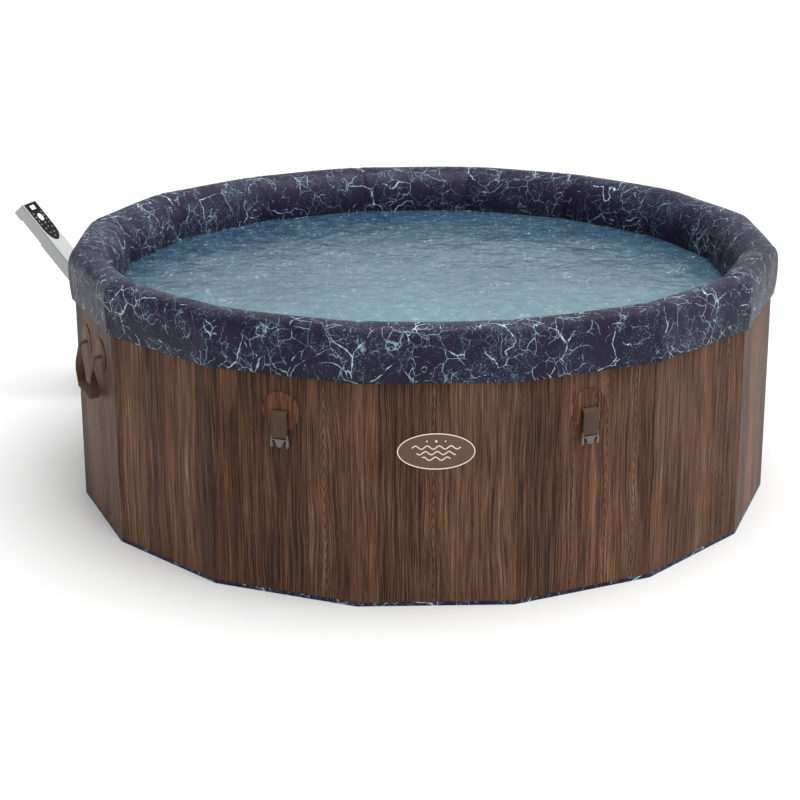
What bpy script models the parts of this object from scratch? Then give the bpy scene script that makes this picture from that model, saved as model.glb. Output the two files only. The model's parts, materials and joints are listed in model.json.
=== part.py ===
"""Inflatable hot tub: a sixteen-sided tub with its pump, control arm, straps and handles.

Metres, +Z up. The origin is on the floor under the middle of the tub. Heights and distances
from the tub's axis are given at the middle of a wall panel ("flat" distances). Panel azimuths
run from -Y towards +X, and the panel that carries the badge faces -Y.
"""

import math

import bmesh
import bpy
from mathutils import Vector

# ---- tub -------------------------------------------------------------------------------
SIDES = 16
CORNER_RADIUS = 0.980        # outside corner of the wall at the floor
WALL_TAPER = 0.006           # how much the wall leans in from the floor to the cuff
WRAP_SKIN = 0.003
CUFF_SKIN = 0.003
LINER_SKIN = 0.002
WALL_DEPTH = 0.113           # from the wall's outside to the water side of the liner
RIM_HEIGHT = 0.705           # crest of the rim above the floor
CREST_INSET = 0.036          # from the wall's outside to the crest
CUFF_DEPTH = 0.137           # from the crest down to the cuff's hem outside
CUFF_PROUD = 0.006           # how far the hem stands off the wall
CUFF_SWELL = 0.011           # how far the cuff's side stands off its hem
CUFF_INNER_DEPTH = 0.205     # from the crest down to its hem on the water side
OUTER_SHOULDER = 0.065       # height of the outer rounding
INNER_SHOULDER = 0.105       # height of the inner rounding
WRAP_TUCK = 0.020            # how far the wrap reaches up under the cuff
SKIRT_HEIGHT = 0.010
SKIRT_THICKNESS = 0.006
FLOOR_SHEET = 0.004
GAP = 0.0003                 # between pieces that touch
CLEARANCE = 0.0010           # around what passes through a wall
AIR_RING_WIDTH = 0.036
AIR_RING_HEIGHT = 0.030

# ---- badge -----------------------------------------------------------------------------
BADGE_AZIMUTH = 0.0
BADGE_SIZE = (0.185, 0.091)
BADGE_THICKNESS = 0.003
BADGE_BELOW_HEM = 0.170

# ---- safety buckles and handles --------------------------------------------------------
BUCKLE_AZIMUTHS = (-22.5, 22.5, -90.0, 90.0, 157.5, -157.5)
HANDLE_AZIMUTHS = (-67.5, 112.5)
PATCH_DIAMETER = 0.097
PATCH_THICKNESS = 0.002
SLOT_BELOW_HEM = 0.091       # the slit that a strap comes out of
SLOT_OPENING = 0.005
STRAP_WIDTH = 0.041
STRAP_THICKNESS = 0.0035
STRAP_DROP = 0.064
STRAP_STANDOFF = 0.011
PLUG_WIDTH = 0.048
PLUG_HEIGHT = 0.032
PLUG_THICKNESS = 0.010
PLUG_BAR = 0.30              # shares of the plug's height and width
PLUG_TOP = 0.80
PLUG_PRONG = 0.17
PLUG_TONGUE = 0.20
HANDLE_SPREAD = 0.150        # between the two legs
HANDLE_WEB_WIDTH = 0.026
HANDLE_WEB_THICKNESS = 0.004
HANDLE_DROP = 0.112
HANDLE_STANDOFF = 0.024
GRIP_SKIN = 0.003

# ---- valves ----------------------------------------------------------------------------
INFLATION_AZIMUTH = -112.5
INFLATION_HEIGHT = 0.240
INFLATION_RADIUS = 0.022
INFLATION_DEPTH = 0.040
DRAIN_AZIMUTH = 180.0
DRAIN_HEIGHT = 0.060
DRAIN_RADIUS = 0.018
VALVE_FLANGE = 0.010         # how far a valve's flange stands out around its neck
VALVE_FLANGE_THICKNESS = 0.004
VALVE_NECK = 0.012
VALVE_WALL = 0.004
CAP_WALL = 0.003

# ---- pump ------------------------------------------------------------------------------
PUMP_AZIMUTH = -135.0
PUMP_STANDOFF = 0.061        # from the wall to the pump's face
PUMP_DEPTH = 0.300
PUMP_LEFT = -0.185
PUMP_WIDTH = 0.310
PUMP_HEIGHT = 0.400
PUMP_SPLIT = 0.120           # depth of the half that faces the tub
PUMP_CORNER = 0.035
PUMP_WALL = 0.004
PUMP_BASE_HEIGHT = 0.030
PUMP_BASE_LIP = 0.006
WATER_TUBE_RADIUS = 0.026
AIR_TUBE_RADIUS = 0.018
TUBE_WALL = 0.005
FLANGE_LIP = 0.008
FLANGE_THICKNESS = 0.006
JOINT_STANDOFF = 0.031       # from the wall to where the tub's pipes meet the pump's
NUT_WALL = 0.010
NUT_LENGTH = 0.034
INLET = (-0.110, 0.287)      # along the panel, height
OUTLET = (0.047, 0.262)
AIR_PORT = (-0.036, 0.140)
FILTER_RADIUS = 0.060
FILTER_LENGTH = 0.140
FILTER_WALL = 0.003
CARTRIDGE_RADIUS = 0.052
CARTRIDGE_LENGTH = 0.110
CARTRIDGE_PLEATS = 16
VENTS = 5
VENT_WIDTH = 0.140
VENT_HEIGHT = 0.008
VENT_PITCH = 0.022
VENT_START = 0.240           # height of the lowest vent
MACHINE_DEPTH = 0.213        # of the circulation pump and the blower behind the case's face
CIRCULATION_AT = (-0.060, 0.120)    # along the panel, height
CIRCULATION_RADIUS = 0.055
CIRCULATION_CUP = 0.034
CIRCULATION_MOTOR = (0.042, 0.080)  # radius, length
IMPELLER_AT = 0.020                 # from the bottom of the housing
IMPELLER_THICKNESS = 0.012
IMPELLER_BLADES = 6
BLOWER_AT = (-0.030, 0.275)
BLOWER_RADIUS = 0.060
BLOWER_CUP = 0.040
BLOWER_MOTOR = (0.036, 0.050)
FAN_AT = 0.022
FAN_THICKNESS = 0.020
FAN_BLADES = 9
CUP_WALL = 0.006
WHEEL_CLEARANCE = 0.010             # between a wheel's radius and its housing's
HEATER_RADIUS = 0.032
HEATER_WALL = 0.008
HEATER_LENGTH = 0.200
HEATER_AT = (0.070, 0.080)          # depth behind the case's face, height
BOARD_SIZE = (0.160, 0.140, 0.002)
BOARD_HEIGHT = 0.200
BOARD_BEHIND_SPLIT = 0.010
GLAND_RADIUS = 0.014
GLAND_TIP = 0.009
GLAND_BORE = 0.005
GLAND_COLLAR = 0.006
GLAND_LENGTH = 0.018
GLAND_AT = (0.060, 0.090)           # from the case's side, height
OVERCUT = 0.010                     # how far a cutter runs past the skin that it opens

# ---- control arm -----------------------------------------------------------------------
ARM_PIVOT_STANDOFF = 0.256   # from the wall
ARM_PIVOT_ALONG = 0.2044
ARM_PIVOT_HEIGHT = 0.272
ARM_TURN = 24.3              # where the arm points, from the pump panel's azimuth
ARM_LEAN = 41.2              # from upright
ARM_LENGTH = 0.443
ARM_WIDTH = 0.077
ARM_THICKNESS = 0.044
ARM_WALL = 0.003
ARM_SHOULDER = 0.062         # where the arm's shells begin above the pivot
ARM_COVER = 0.005
ARM_FLOOR = 0.011            # thick enough for the finger recess
FINGER_RECESS = (0.100, 0.0055)   # length, depth
FINGER_RECESS_FROM_END = 0.034
PANEL_WIDTH = 0.068
PANEL_LENGTH = 0.148
PANEL_TIP = 0.050            # length of the rounded tip
PANEL_THICKNESS = 0.003
PANEL_POCKET = 0.0025
PANEL_FROM_END = 0.004
POST_RADIUS = 0.034
COLLAR_RADIUS = 0.040
COLLAR_HEIGHT = 0.040
STUB_LENGTH = 0.030

FLAT = math.cos(math.pi / SIDES)     # flat distance for each metre of corner radius
WALL_FLAT = CORNER_RADIUS * FLAT
CUFF_HEM = RIM_HEIGHT - CUFF_DEPTH
CUFF_INNER_HEM = RIM_HEIGHT - CUFF_INNER_DEPTH
BADGE_HEIGHT = CUFF_HEM - BADGE_BELOW_HEM
SLOT_HEIGHT = CUFF_HEM - SLOT_BELOW_HEM
INNER_FLAT = WALL_FLAT - WALL_DEPTH
CREST_FLAT = WALL_FLAT - CREST_INSET
PUMP_FLAT = WALL_FLAT + PUMP_STANDOFF
JOINT_FLAT = WALL_FLAT + JOINT_STANDOFF
ARM_PIVOT_FLAT = WALL_FLAT + ARM_PIVOT_STANDOFF

parts = bpy.data.collections.new("inflatable_hot_tub")
cutters = bpy.data.collections.new("cutters")


# ---- materials -------------------------------------------------------------------------
def material(name, colour, roughness, metallic=0.0):
    made = bpy.data.materials.new(name)
    made.use_nodes = True
    shader = made.node_tree.nodes["Principled BSDF"]
    shader.inputs["Base Color"].default_value = (*colour, 1.0)
    shader.inputs["Roughness"].default_value = roughness
    shader.inputs["Metallic"].default_value = metallic
    return made


PALETTE = {
    "wood_print": ((0.140, 0.078, 0.050), 0.45),
    "marble_print": ((0.030, 0.030, 0.070), 0.35),
    "air_cell": ((0.55, 0.56, 0.58), 0.60),
    "webbing": ((0.070, 0.045, 0.030), 0.85),
    "buckle_plastic": ((0.090, 0.070, 0.065), 0.45),
    "badge_print": ((0.100, 0.050, 0.030), 0.40),
    "arm_plastic": ((0.75, 0.75, 0.75), 0.40),
    "pump_plastic": ((0.50, 0.50, 0.51), 0.50),
    "dark_plastic": ((0.045, 0.045, 0.050), 0.50),
    "panel_gloss": ((0.010, 0.010, 0.010), 0.15),
    "steel": ((0.55, 0.55, 0.56), 0.35, 1.0),
    "board": ((0.020, 0.150, 0.060), 0.50),
    "filter_paper": ((0.80, 0.82, 0.86), 0.90),
}
materials = {name: material(name, *look) for name, look in PALETTE.items()}


# ---- building blocks -------------------------------------------------------------------
def place(item, look, parent=None, at=(0.0, 0.0, 0.0), turn=(0.0, 0.0, 0.0), group=parts):
    """Puts an object in its collection, in its parent's frame; turn is in degrees."""
    group.objects.link(item)
    item.parent = parent
    item.location = at
    item.rotation_euler = [math.radians(angle) for angle in turn]
    if look:
        item.data.materials.append(materials[look])
    return item


def axis_frame(name, parent=None, at=(0.0, 0.0, 0.0), turn=(0.0, 0.0, 0.0)):
    return place(bpy.data.objects.new(name, None), None, parent, at, turn)


def hide_cutter(item):
    item.hide_render = True
    item.display_type = "WIRE"
    return item


def cut(item, cutter, operation="DIFFERENCE"):
    step = item.modifiers.new(operation.lower(), "BOOLEAN")
    step.operation = operation
    step.solver = "EXACT"
    step.object = cutter
    return item


def turned(name, line, look, closed=True, steps=16, group=parts, **where):
    """A solid of revolution about local Z. The line runs top to bottom on its outer side."""
    mesh = bpy.data.meshes.new(name)
    edges = [(i, i + 1) for i in range(len(line) - 1)]
    if closed:
        edges.append((len(line) - 1, 0))
    mesh.from_pydata([(r, 0.0, z) for r, z in line], edges, [])
    item = place(bpy.data.objects.new(name, mesh), look, group=group, **where)
    screw = item.modifiers.new("turn", "SCREW")
    screw.axis = "Z"
    screw.steps = screw.render_steps = steps
    screw.use_merge_vertices = True
    screw.merge_threshold = 0.00005
    screw.use_smooth_shade = False
    return item


def tub_ring(name, line, look, closed=True):
    """A ring with one flat side for each wall panel, from a line of flat distances."""
    corners = [(flat / FLAT, z) for flat, z in line]
    return turned(name, corners, look, closed, SIDES, turn=(0.0, 0.0, 180.0 / SIDES))


def outline_spline(curve, outline):
    spline = curve.splines.new("POLY")
    spline.points.add(len(outline) - 1)
    for point, (x, y) in zip(spline.points, outline):
        point.co = (x, y, 0.0, 1.0)
    spline.use_cyclic_u = True


def plate(name, outlines, thickness, look, parent=None, at=(0, 0, 0), turn=(0, 0, 0), group=parts):
    """A flat solid in local XY, from an outline and any holes, centred on its thickness."""
    curve = bpy.data.curves.new(name + "_outline", "CURVE")
    curve.dimensions = "2D"
    curve.fill_mode = "BOTH"
    curve.extrude = thickness / 2
    for outline in outlines:
        outline_spline(curve, outline)
    drawn = bpy.data.objects.new(name + "_outline", curve)
    bpy.context.scene.collection.objects.link(drawn)
    shape = drawn.evaluated_get(bpy.context.evaluated_depsgraph_get())
    mesh = bpy.data.meshes.new_from_object(shape)
    bpy.data.objects.remove(drawn)
    solid = bmesh.new()
    solid.from_mesh(mesh)
    bmesh.ops.remove_doubles(solid, verts=solid.verts, dist=0.00002)
    bmesh.ops.recalc_face_normals(solid, faces=solid.faces)
    solid.to_mesh(mesh)
    solid.free()
    mesh.materials.clear()
    return place(bpy.data.objects.new(name, mesh), look, parent, at, turn, group)


def block(name, low, high, look, round_edges=0.0, group=parts, **where):
    """A box between two corners of its parent's frame, with its edges rounded."""
    solid = bmesh.new()
    bmesh.ops.create_cube(solid, size=1.0)
    size = [b - a for a, b in zip(low, high)]
    bmesh.ops.scale(solid, vec=size, verts=solid.verts)
    middle = [(a + b) / 2 for a, b in zip(low, high)]
    bmesh.ops.translate(solid, vec=middle, verts=solid.verts)
    mesh = bpy.data.meshes.new(name)
    solid.to_mesh(mesh)
    solid.free()
    item = place(bpy.data.objects.new(name, mesh), look, group=group, **where)
    if round_edges:
        bevel = item.modifiers.new("edges", "BEVEL")
        bevel.width = round_edges
        bevel.segments = 2
    return item


def arc(centre, radii, start, end, steps):
    """Points along an ellipse's arc; angles in degrees from +X."""
    angles = [math.radians(start + (end - start) * i / steps) for i in range(steps + 1)]
    return [(centre[0] + radii[0] * math.cos(a), centre[1] + radii[1] * math.sin(a)) for a in angles]


def oval(width, height, steps):
    return arc((0.0, 0.0), (width / 2, height / 2), 0.0, 360.0 - 360.0 / steps, steps - 1)


def rounded_rectangle(low, high, radius, steps=3):
    (x0, y0), (x1, y1) = low, high
    r = (radius, radius)
    line = arc((x1 - radius, y1 - radius), r, 0, 90, steps)
    line += arc((x0 + radius, y1 - radius), r, 90, 180, steps)
    line += arc((x0 + radius, y0 + radius), r, 180, 270, steps)
    line += arc((x1 - radius, y0 + radius), r, 270, 360, steps)
    return line


def band_outline(line, thickness):
    """The outline of a strap of even thickness along a line."""
    left, right = [], []
    for i, point in enumerate(line):
        before = Vector(line[max(i - 1, 0)])
        after = Vector(line[min(i + 1, len(line) - 1)])
        along = (after - before).normalized()
        side = Vector((-along.y, along.x)) * thickness / 2
        left.append(tuple(Vector(point) + side))
        right.append(tuple(Vector(point) - side))
    return left + right[::-1]


def wall_flat(height):
    """Flat distance of the wall's outside at a height."""
    return WALL_FLAT - WALL_TAPER * height / CUFF_HEM


def panel_frame(name, azimuth):
    """In this frame the panel faces -Y, X runs along it, and -Y is the flat distance."""
    return axis_frame(name, turn=(0.0, 0.0, azimuth))


OUTWARD = (90.0, 0.0, 0.0)           # turns local Z to -Y, out of the wall, and local Y to up
SIDEWAYS = (90.0, 0.0, 90.0)         # turns an outline's X to +Y and its thickness to X


# ---- tub -------------------------------------------------------------------------------
def rim_line(inset):
    """The rim's section from the outer side over the crest to the water side."""
    side = wall_flat(CUFF_HEM) + CUFF_PROUD + CUFF_SWELL
    outer_centre = (CREST_FLAT, RIM_HEIGHT - OUTER_SHOULDER)
    outer_radii = (side - CREST_FLAT - inset, OUTER_SHOULDER - inset)
    inner_centre = (CREST_FLAT, RIM_HEIGHT - INNER_SHOULDER)
    inner_radii = (CREST_FLAT - INNER_FLAT - inset, INNER_SHOULDER - inset)
    return arc(outer_centre, outer_radii, 0, 90, 4) + arc(inner_centre, inner_radii, 90, 180, 5)[1:]


def make_cuff():
    hem = wall_flat(CUFF_HEM) + CUFF_PROUD
    outside = [(hem, CUFF_HEM)] + rim_line(0.0) + [(INNER_FLAT, CUFF_INNER_HEM + GAP)]
    inside = [(INNER_FLAT + CUFF_SKIN, CUFF_INNER_HEM + GAP)] + rim_line(CUFF_SKIN)[::-1]
    inside.append((hem - CUFF_SKIN, CUFF_HEM))
    tub_ring("top_cuff", outside[::-1] + inside[::-1], "marble_print")


def make_wrap():
    low = SKIRT_HEIGHT + GAP
    high = CUFF_HEM + WRAP_TUCK
    outside = [(wall_flat(high), high), (wall_flat(low), low)]
    inside = [(wall_flat(low) - WRAP_SKIN, low), (wall_flat(high) - WRAP_SKIN, high)]
    return tub_ring("wood_wrap", outside + inside, "wood_print")


def make_air_chamber():
    inset = CUFF_SKIN + 2 * GAP
    high = CUFF_HEM + WRAP_TUCK + GAP
    wall = wall_flat(high) - WRAP_SKIN - GAP
    bottom = FLOOR_SHEET + GAP
    shoulder = rim_line(inset)[::-1]
    foot = wall_flat(0.0) - SKIRT_THICKNESS - GAP
    line = shoulder + [(wall, high), (wall, 0.050), (foot - 0.010, bottom)]
    inner = INNER_FLAT + LINER_SKIN + GAP
    line += [(inner, bottom), (inner, CUFF_INNER_HEM - GAP)]
    line += [(INNER_FLAT + CUFF_SKIN + GAP, CUFF_INNER_HEM)]
    return tub_ring("air_chamber", line, "air_cell")


def make_liner():
    floor = FLOOR_SHEET + GAP
    line = [(0.0, floor + LINER_SKIN), (INNER_FLAT, floor + LINER_SKIN), (INNER_FLAT, CUFF_INNER_HEM)]
    line += [(INNER_FLAT + LINER_SKIN, CUFF_INNER_HEM), (INNER_FLAT + LINER_SKIN, floor), (0.0, floor)]
    return tub_ring("inner_liner", line, "marble_print", closed=False)


def make_bottom():
    edge = wall_flat(0.0)
    inner = edge - SKIRT_THICKNESS
    line = [(0.0, FLOOR_SHEET), (inner, FLOOR_SHEET), (inner, SKIRT_HEIGHT), (edge, SKIRT_HEIGHT)]
    tub_ring("bottom_sheet", line + [(edge, 0.0), (0.0, 0.0)], "marble_print", closed=False)


def make_air_ring():
    low = FLOOR_SHEET + LINER_SKIN + 2 * GAP
    outer = INNER_FLAT - GAP
    line = [(outer, low + AIR_RING_HEIGHT / 2), (outer, low), (outer - AIR_RING_WIDTH, low)]
    crown = arc((outer - AIR_RING_WIDTH / 2, low + AIR_RING_HEIGHT / 2),
                (AIR_RING_WIDTH / 2, AIR_RING_HEIGHT / 2), 180, 0, 4)
    tub_ring("airjet_ring", line + crown[:-1], "marble_print")


def make_badge():
    frame = panel_frame("badge_panel", BADGE_AZIMUTH)
    low = BADGE_HEIGHT - BADGE_SIZE[1] / 2
    out = wall_flat(low) + GAP + BADGE_THICKNESS / 2
    plate("badge", [oval(*BADGE_SIZE, 32)], BADGE_THICKNESS, "badge_print",
          frame, (0.0, -out, BADGE_HEIGHT), OUTWARD)


# ---- what passes through the wall ------------------------------------------------------
def bore(name, frame, along, height, radius, near, far):
    """A cutter for a round hole through the wall, between two flat distances."""
    line = [(0.0, far), (radius, far), (radius, near), (0.0, near)]
    hole = turned(name, line, None, False, 16, cutters, parent=frame,
                  at=(along, 0.0, height), turn=OUTWARD)
    return hide_cutter(hole)


def pierce(skins, name, frame, along, height, radius, near):
    hole = bore(name, frame, along, height, radius + CLEARANCE, near, WALL_FLAT + 0.020)
    for skin in skins:
        cut(skin, hole)


def make_fitting(name, frame, port, radius):
    """A flanged pipe from the water side through the wall to the pump's pipe."""
    inner = radius - TUBE_WALL
    flange = radius + FLANGE_LIP
    end = JOINT_FLAT - GAP / 2
    face = INNER_FLAT - GAP
    line = [(inner, end), (flange, end), (flange, end - FLANGE_THICKNESS)]
    line += [(radius, end - FLANGE_THICKNESS), (radius, face), (flange, face)]
    line += [(flange, face - FLANGE_THICKNESS), (inner, face - FLANGE_THICKNESS)]
    turned(name, line, "pump_plastic", parent=frame, at=(port[0], 0.0, port[1]), turn=OUTWARD)


def make_nut(name, frame, port, radius):
    """A union nut around the two flanges, with a lip behind the pump's flange."""
    bore_radius = radius + FLANGE_LIP + CLEARANCE
    outer = bore_radius + NUT_WALL
    far_face = FLANGE_THICKNESS + GAP
    lip = radius + CLEARANCE
    start = far_face + NUT_WALL - NUT_LENGTH
    line = [(lip, far_face + NUT_WALL), (outer, far_face + NUT_WALL), (outer, start)]
    line += [(bore_radius, start), (bore_radius, far_face), (lip, far_face)]
    turned(name, line, "dark_plastic", parent=frame, at=(port[0], -JOINT_FLAT, port[1]), turn=OUTWARD)


def make_valve(name, frame, height, radius, near, through):
    """A valve body: a flange outside the wall, a neck for the cap, and a pipe into the wall."""
    face = wall_flat(height - radius - VALVE_FLANGE) + GAP
    flange = radius + VALVE_FLANGE
    top = face + VALVE_FLANGE_THICKNESS
    hole = radius - VALVE_WALL
    line = [(radius, top + VALVE_NECK), (radius, top), (flange, top), (flange, face)]
    line += [(radius, face), (radius, near)]
    if through:
        line = [(hole, top + VALVE_NECK)] + line + [(hole, near)]
    else:
        line = [(0.0, near + VALVE_WALL), (hole, near + VALVE_WALL), (hole, top + VALVE_NECK)] + line
        line.append((0.0, near))
    turned(name, line, "dark_plastic", through, parent=frame, at=(0.0, 0.0, height), turn=OUTWARD)
    return top


def make_cap(name, frame, height, radius, flange_top):
    """A screw cap over the valve's neck."""
    inner = radius + CLEARANCE
    outer = inner + CAP_WALL
    mouth = GAP
    roof = VALVE_NECK + CLEARANCE
    line = [(0.0, roof + CAP_WALL), (outer - 0.002, roof + CAP_WALL), (outer, roof), (outer, mouth)]
    line += [(inner, mouth), (inner, roof), (0.0, roof)]
    turned(name, line, "dark_plastic", False, parent=frame, at=(0.0, -flange_top, height), turn=OUTWARD)


def make_wall_openings(wrap, chamber, liner, pump_frame):
    for name, port, radius in PORTS:
        pierce((wrap, chamber, liner), name + "_bore", pump_frame, *port, radius, INNER_FLAT - 0.020)
        make_fitting(name + "_fitting", pump_frame, port, radius)
        make_nut(name + "_union_nut", pump_frame, port, radius)
    drain = panel_frame("drain_panel", DRAIN_AZIMUTH)
    pierce((wrap, chamber, liner), "drain_bore", drain, 0.0, DRAIN_HEIGHT, DRAIN_RADIUS, INNER_FLAT - 0.020)
    top = make_valve("drain_valve", drain, DRAIN_HEIGHT, DRAIN_RADIUS, INNER_FLAT - GAP, True)
    make_cap("drain_valve_cap", drain, DRAIN_HEIGHT, DRAIN_RADIUS, top)
    inflation = panel_frame("inflation_panel", INFLATION_AZIMUTH)
    seat = wall_flat(INFLATION_HEIGHT) - INFLATION_DEPTH
    pierce((wrap, chamber), "inflation_bore", inflation, 0.0, INFLATION_HEIGHT, INFLATION_RADIUS,
           seat - CLEARANCE)
    top = make_valve("inflation_valve", inflation, INFLATION_HEIGHT, INFLATION_RADIUS, seat, False)
    make_cap("inflation_valve_cap", inflation, INFLATION_HEIGHT, INFLATION_RADIUS, top)


# ---- filter ----------------------------------------------------------------------------
def make_filter(pump_frame):
    mouth = INNER_FLAT - FLANGE_THICKNESS - 2 * GAP
    end = mouth - FILTER_LENGTH
    inner = FILTER_RADIUS - FILTER_WALL
    line = [(0.0, end + FILTER_WALL), (inner, end + FILTER_WALL), (inner, mouth), (FILTER_RADIUS, mouth)]
    line += [(FILTER_RADIUS, end + 0.010), (FILTER_RADIUS - 0.010, end), (0.0, end)]
    turned("filter_housing", line, "pump_plastic", False, 24, parent=pump_frame,
           at=(INLET[0], 0.0, INLET[1]), turn=OUTWARD)
    pleats = [
        (CARTRIDGE_RADIUS * (1.0 if i % 2 else 0.86) * math.cos(math.pi * i / CARTRIDGE_PLEATS),
         CARTRIDGE_RADIUS * (1.0 if i % 2 else 0.86) * math.sin(math.pi * i / CARTRIDGE_PLEATS))
        for i in range(2 * CARTRIDGE_PLEATS)
    ]
    core = oval(WATER_TUBE_RADIUS * 2, WATER_TUBE_RADIUS * 2, 12)
    middle = end + FILTER_WALL + GAP + CARTRIDGE_LENGTH / 2
    plate("filter_cartridge", [pleats, core], CARTRIDGE_LENGTH, "filter_paper", pump_frame,
          (INLET[0], -middle, INLET[1]), OUTWARD)


# ---- buckles and handles ---------------------------------------------------------------
def make_patch(name, frame, along, slot_width):
    """A welded disc with the slit that webbing comes out of."""
    slot = rounded_rectangle((-slot_width / 2, -SLOT_OPENING / 2), (slot_width / 2, SLOT_OPENING / 2),
                             SLOT_OPENING / 2.5, 1)
    out = wall_flat(SLOT_HEIGHT - PATCH_DIAMETER / 2) + GAP + PATCH_THICKNESS / 2
    plate(name, [oval(PATCH_DIAMETER, PATCH_DIAMETER, 24), slot], PATCH_THICKNESS, "wood_print",
          frame, (along, -out, SLOT_HEIGHT), OUTWARD)


def hinge_flat(thickness):
    """Flat distance of the axis that webbing swings about, just clear of its patch."""
    patch_face = wall_flat(SLOT_HEIGHT - PATCH_DIAMETER / 2) + GAP + PATCH_THICKNESS
    return patch_face + thickness / 2 * 1.2 + GAP


def hanging_line(standoff, drop):
    """A strap's line from its hinge: out of the wall, over and down (outwards is -X)."""
    bend = arc((0.0, -standoff * 0.8), (standoff * 0.8, standoff * 0.8), 90, 180, 4)
    return bend + [(-standoff, -drop)]


def make_buckle(number, azimuth):
    frame = panel_frame(f"buckle_panel_{number}", azimuth)
    make_patch(f"buckle_patch_{number}", frame, 0.0, STRAP_WIDTH + 2 * CLEARANCE)
    hinge = axis_frame(f"buckle_hinge_{number}", frame, (0.0, -hinge_flat(STRAP_THICKNESS), SLOT_HEIGHT))
    side = band_outline(hanging_line(STRAP_STANDOFF, STRAP_DROP), STRAP_THICKNESS)
    plate(f"buckle_strap_{number}", [side], STRAP_WIDTH, "webbing", hinge, turn=SIDEWAYS)
    top = -STRAP_DROP - GAP
    outline = plug_outline(top)
    plate(f"buckle_plug_{number}", [outline], PLUG_THICKNESS, "buckle_plastic", hinge,
          (0.0, -STRAP_STANDOFF, 0.0), OUTWARD)


def plug_outline(top):
    """A side-release plug: two prongs outside and a rounded tongue between them."""
    half = PLUG_WIDTH / 2
    bar = top - PLUG_HEIGHT * PLUG_BAR
    tip = top - PLUG_HEIGHT
    prong = PLUG_WIDTH * PLUG_PRONG
    tongue = PLUG_WIDTH * PLUG_TONGUE
    right = [(half * PLUG_TOP, top), (half, bar), (half, tip + 0.004), (half - prong * 0.5, tip + 0.001)]
    right += [(half - prong, tip + 0.004), (half - prong, bar - 0.002), (tongue, bar - 0.002)]
    right += [(tongue, tip + tongue * 0.7)]
    nose = arc((0.0, tip + tongue * 0.7), (tongue, tongue * 0.7), 0, -180, 6)[1:-1]
    left = [(-x, y) for x, y in reversed(right)]
    return right + nose + left


def make_handle(number, azimuth):
    frame = panel_frame(f"handle_panel_{number}", azimuth)
    for side, along in (("left", -HANDLE_SPREAD / 2), ("right", HANDLE_SPREAD / 2)):
        make_patch(f"handle_patch_{side}_{number}", frame, along, HANDLE_WEB_WIDTH + 2 * CLEARANCE)
    hinge = axis_frame(f"handle_hinge_{number}", frame, (0.0, -hinge_flat(HANDLE_WEB_THICKNESS), SLOT_HEIGHT))
    side_line = band_outline(hanging_line(HANDLE_STANDOFF, HANDLE_DROP), HANDLE_WEB_THICKNESS)
    loop = plate(f"handle_webbing_{number}", [side_line], HANDLE_WEB_WIDTH, "webbing", hinge,
                 (-HANDLE_SPREAD / 2, 0.0, 0.0), SIDEWAYS)
    other = plate(f"handle_leg_{number}", [side_line], HANDLE_WEB_WIDTH, None, hinge,
                  (HANDLE_SPREAD / 2, 0.0, 0.0), SIDEWAYS, cutters)
    reach = HANDLE_SPREAD / 2
    web = (HANDLE_WEB_WIDTH / 2, HANDLE_WEB_THICKNESS / 2)
    run = block(f"handle_run_{number}", (-reach, -web[0] - HANDLE_STANDOFF, -web[1] - HANDLE_DROP),
                (reach, web[0] - HANDLE_STANDOFF, web[1] - HANDLE_DROP), None, group=cutters, parent=hinge)
    cut(loop, hide_cutter(run), "UNION")
    cut(loop, hide_cutter(other), "UNION")
    make_grip(number, hinge, web)


def make_grip(number, hinge, web):
    """A folded sleeve around the webbing's level run."""
    length = HANDLE_SPREAD - HANDLE_WEB_WIDTH - 2 * CLEARANCE
    inner = (web[0] + CLEARANCE, web[1] + CLEARANCE)
    outer = (inner[0] + GRIP_SKIN, inner[1] + GRIP_SKIN)
    sleeve = rounded_rectangle((-outer[0], -outer[1]), outer, GRIP_SKIN, 2)
    hole = rounded_rectangle((-inner[0], -inner[1]), inner, inner[1] / 2, 1)
    plate(f"handle_grip_{number}", [sleeve, hole], length, "webbing", hinge,
          (0.0, -HANDLE_STANDOFF, -HANDLE_DROP), SIDEWAYS)


# ---- pump ------------------------------------------------------------------------------
def shell_half(name, near, far, look, pump_frame):
    """Half of the pump's case, as a rounded block between two flat distances."""
    low = (PUMP_LEFT, PUMP_BASE_HEIGHT + GAP)
    high = (PUMP_LEFT + PUMP_WIDTH, PUMP_HEIGHT)
    outline = rounded_rectangle(low, high, PUMP_CORNER, 4)
    return plate(name, [outline], far - near, look, pump_frame, (0.0, -(near + far) / 2, 0.0), OUTWARD)


def hollow_half(case, near, far, pump_frame):
    """Hollows half of the case between two flat distances, one of them past its open side."""
    low = (PUMP_LEFT + PUMP_WALL, PUMP_BASE_HEIGHT + GAP + PUMP_WALL)
    high = (PUMP_LEFT + PUMP_WIDTH - PUMP_WALL, PUMP_HEIGHT - PUMP_WALL)
    outline = rounded_rectangle(low, high, PUMP_CORNER - PUMP_WALL, 4)
    void = plate(case.name + "_void", [outline], far - near, None, pump_frame,
                 (0.0, -(near + far) / 2, 0.0), OUTWARD, cutters)
    cut(case, hide_cutter(void))


PORTS = (("inlet", INLET, WATER_TUBE_RADIUS), ("outlet", OUTLET, WATER_TUBE_RADIUS),
         ("air", AIR_PORT, AIR_TUBE_RADIUS))


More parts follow.
